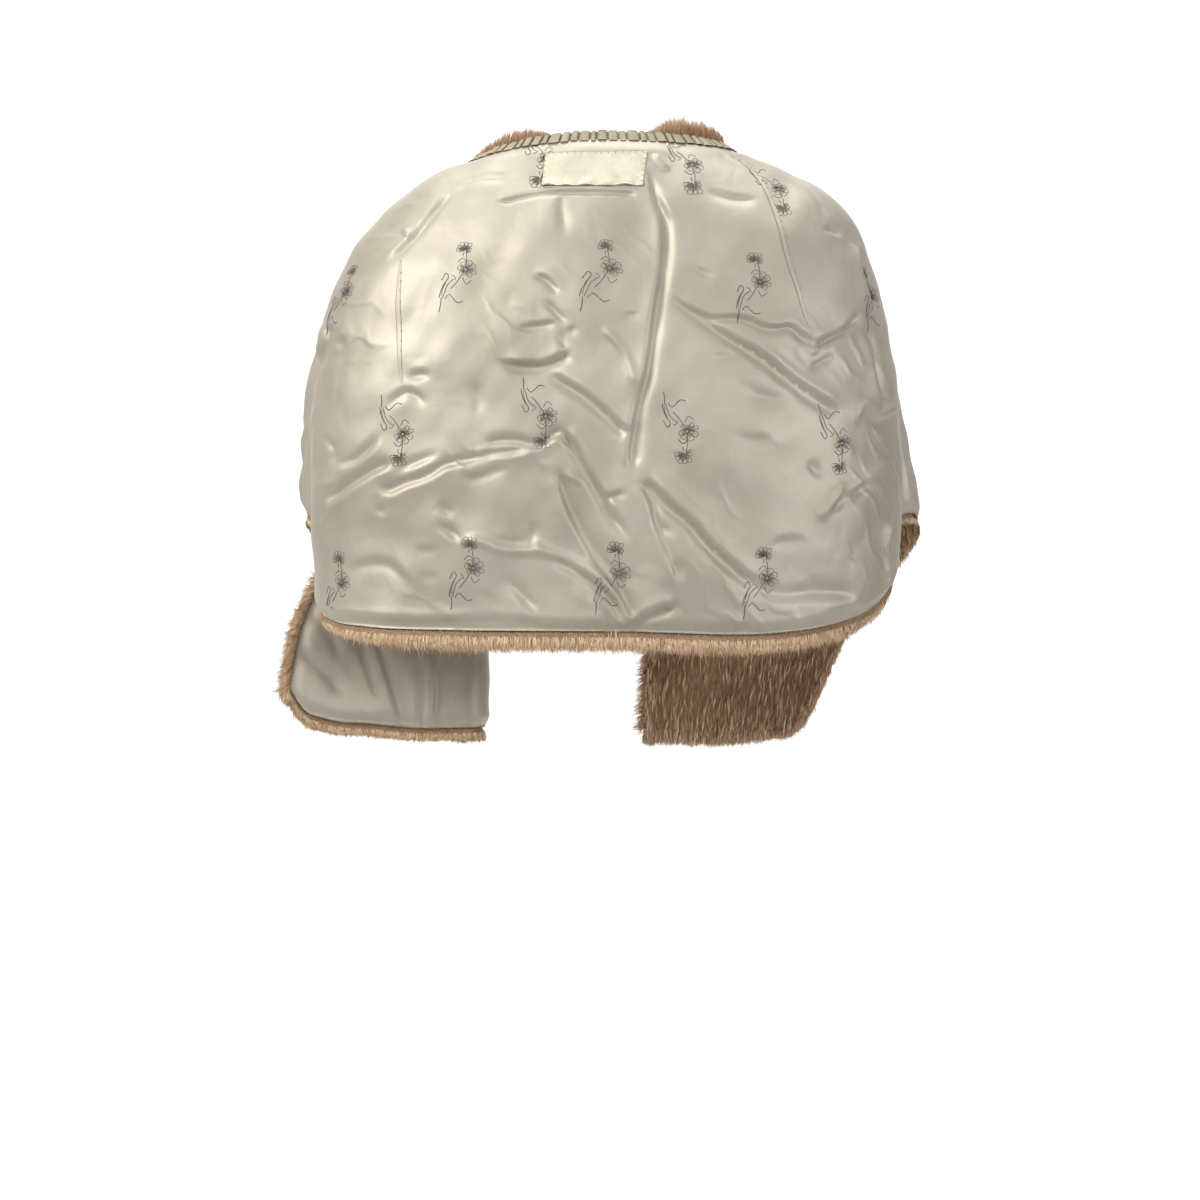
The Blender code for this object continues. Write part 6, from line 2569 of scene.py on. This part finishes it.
@dataclass
class Studio:
    """A pale sweep, soft light and the camera."""

    distance: float = 3.6
    aside: float = -0.005
    height: float = -0.46
    lens: float = 108.0
    sensor: float = 36.0
    floor: float = -1.45
    wall: float = 3.2
    wall_top: float = 6.0
    curve: float = 1.4
    half_width: float = 9.0
    air: float = 0.22
    finish: PlasterFinish = PlasterFinish()

    def build(self) -> None:
        """Builds the sweep, lights and camera."""
        self.sweep()
        self.light("key_light", (-2.7, -2.0, 1.7), 1.7, 9.0, (1.0, 0.985, 0.96), 42,
                   (-0.10, 0, -0.46))
        self.light("fill_light", (2.8, -2.6, 0.1), 1.2, 2.6, (0.97, 0.98, 1.0), 40)
        self.light("front_light", (-0.5, -4.4, 1.3), 2.2, 2.0, (1.0, 1.0, 1.0), 30)
        self.light("wall_light", (0.0, 1.0, 2.6), 2.6, 120.0, (1.0, 1.0, 1.0), 130,
                   (0, self.wall, -0.6))
        world = bpy.data.worlds.new("studio_air")
        world.use_nodes = True
        background = world.node_tree.nodes["Background"]
        background.inputs["Color"].default_value = (1, 1, 1, 1)
        background.inputs["Strength"].default_value = self.air
        bpy.context.scene.world = world
        bpy.context.scene.view_settings.view_transform = "Standard"
        camera = bpy.data.cameras.new("view_camera")
        camera.lens, camera.sensor_width = self.lens, self.sensor
        viewer = bpy.data.objects.new("view_camera", camera)
        viewer.location = (self.aside, -self.distance, self.height)
        viewer.rotation_euler = (math.pi / 2, 0, 0)
        bpy.context.scene.collection.objects.link(viewer)
        bpy.context.scene.camera = viewer

    def sweep(self) -> None:
        """A floor that curves up into a wall."""
        radius, reach = self.curve, self.half_width
        turn = np.linspace(0, math.pi / 2, 24)
        profile = [(-reach, self.floor)]
        profile += [
            (self.wall - radius + radius * math.sin(a), self.floor + radius - radius * math.cos(a))
            for a in turn
        ]
        profile.append((self.wall, self.wall_top))
        sides = np.array([-reach, reach])
        points = np.array([[(x, y, z) for x in sides] for y, z in profile])
        mesh = Joined()
        mesh.add(points.reshape(-1, 3), (grid_faces(len(profile), 2),))
        piece = mesh.piece("studio_floor")
        piece.data.materials.append(self.finish.material())

    def light(self, name: str, place: Sequence[float], size: float, power: float,
              colour: Colour, spread: float, target: Sequence[float] = (0, 0, -0.3)) -> None:
        """Hangs a square soft light.

        Args:
            name: its name.
            place: where it is.
            size: its side.
            power: its watts.
            colour: its colour.
            spread: its cone, in degrees.
            target: where it is aimed.
        """
        lamp = bpy.data.lights.new(name, "AREA")
        lamp.size, lamp.energy, lamp.color = size, power, colour
        lamp.spread = math.radians(spread)
        holder = bpy.data.objects.new(name, lamp)
        holder.location = place
        aim = Vector(target) - Vector(place)
        holder.rotation_euler = aim.to_track_quat("-Z", "Y").to_euler()
        bpy.context.scene.collection.objects.link(holder)


def main() -> None:
    """Builds the stole's pieces in order, then the studio."""
    logging.basicConfig(level=logging.INFO, format="%(name)s: %(message)s")
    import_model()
    lining = Lining()
    cloths = lining.build()
    darts = Darts().build(cloths["back"], lining.satin)
    for name, cloth in cloths.items():
        cloth.declare(*([darts] if name == "back" else []))
    Pelts().build()
    Collar().build()
    NeckRibbon().build()
    NeckLabel().build(cloths["back"])
    Embroidery().build(cloths)
    HandStitches().build(cloths)
    Studio().build()


if __name__ == "__main__":
    main()
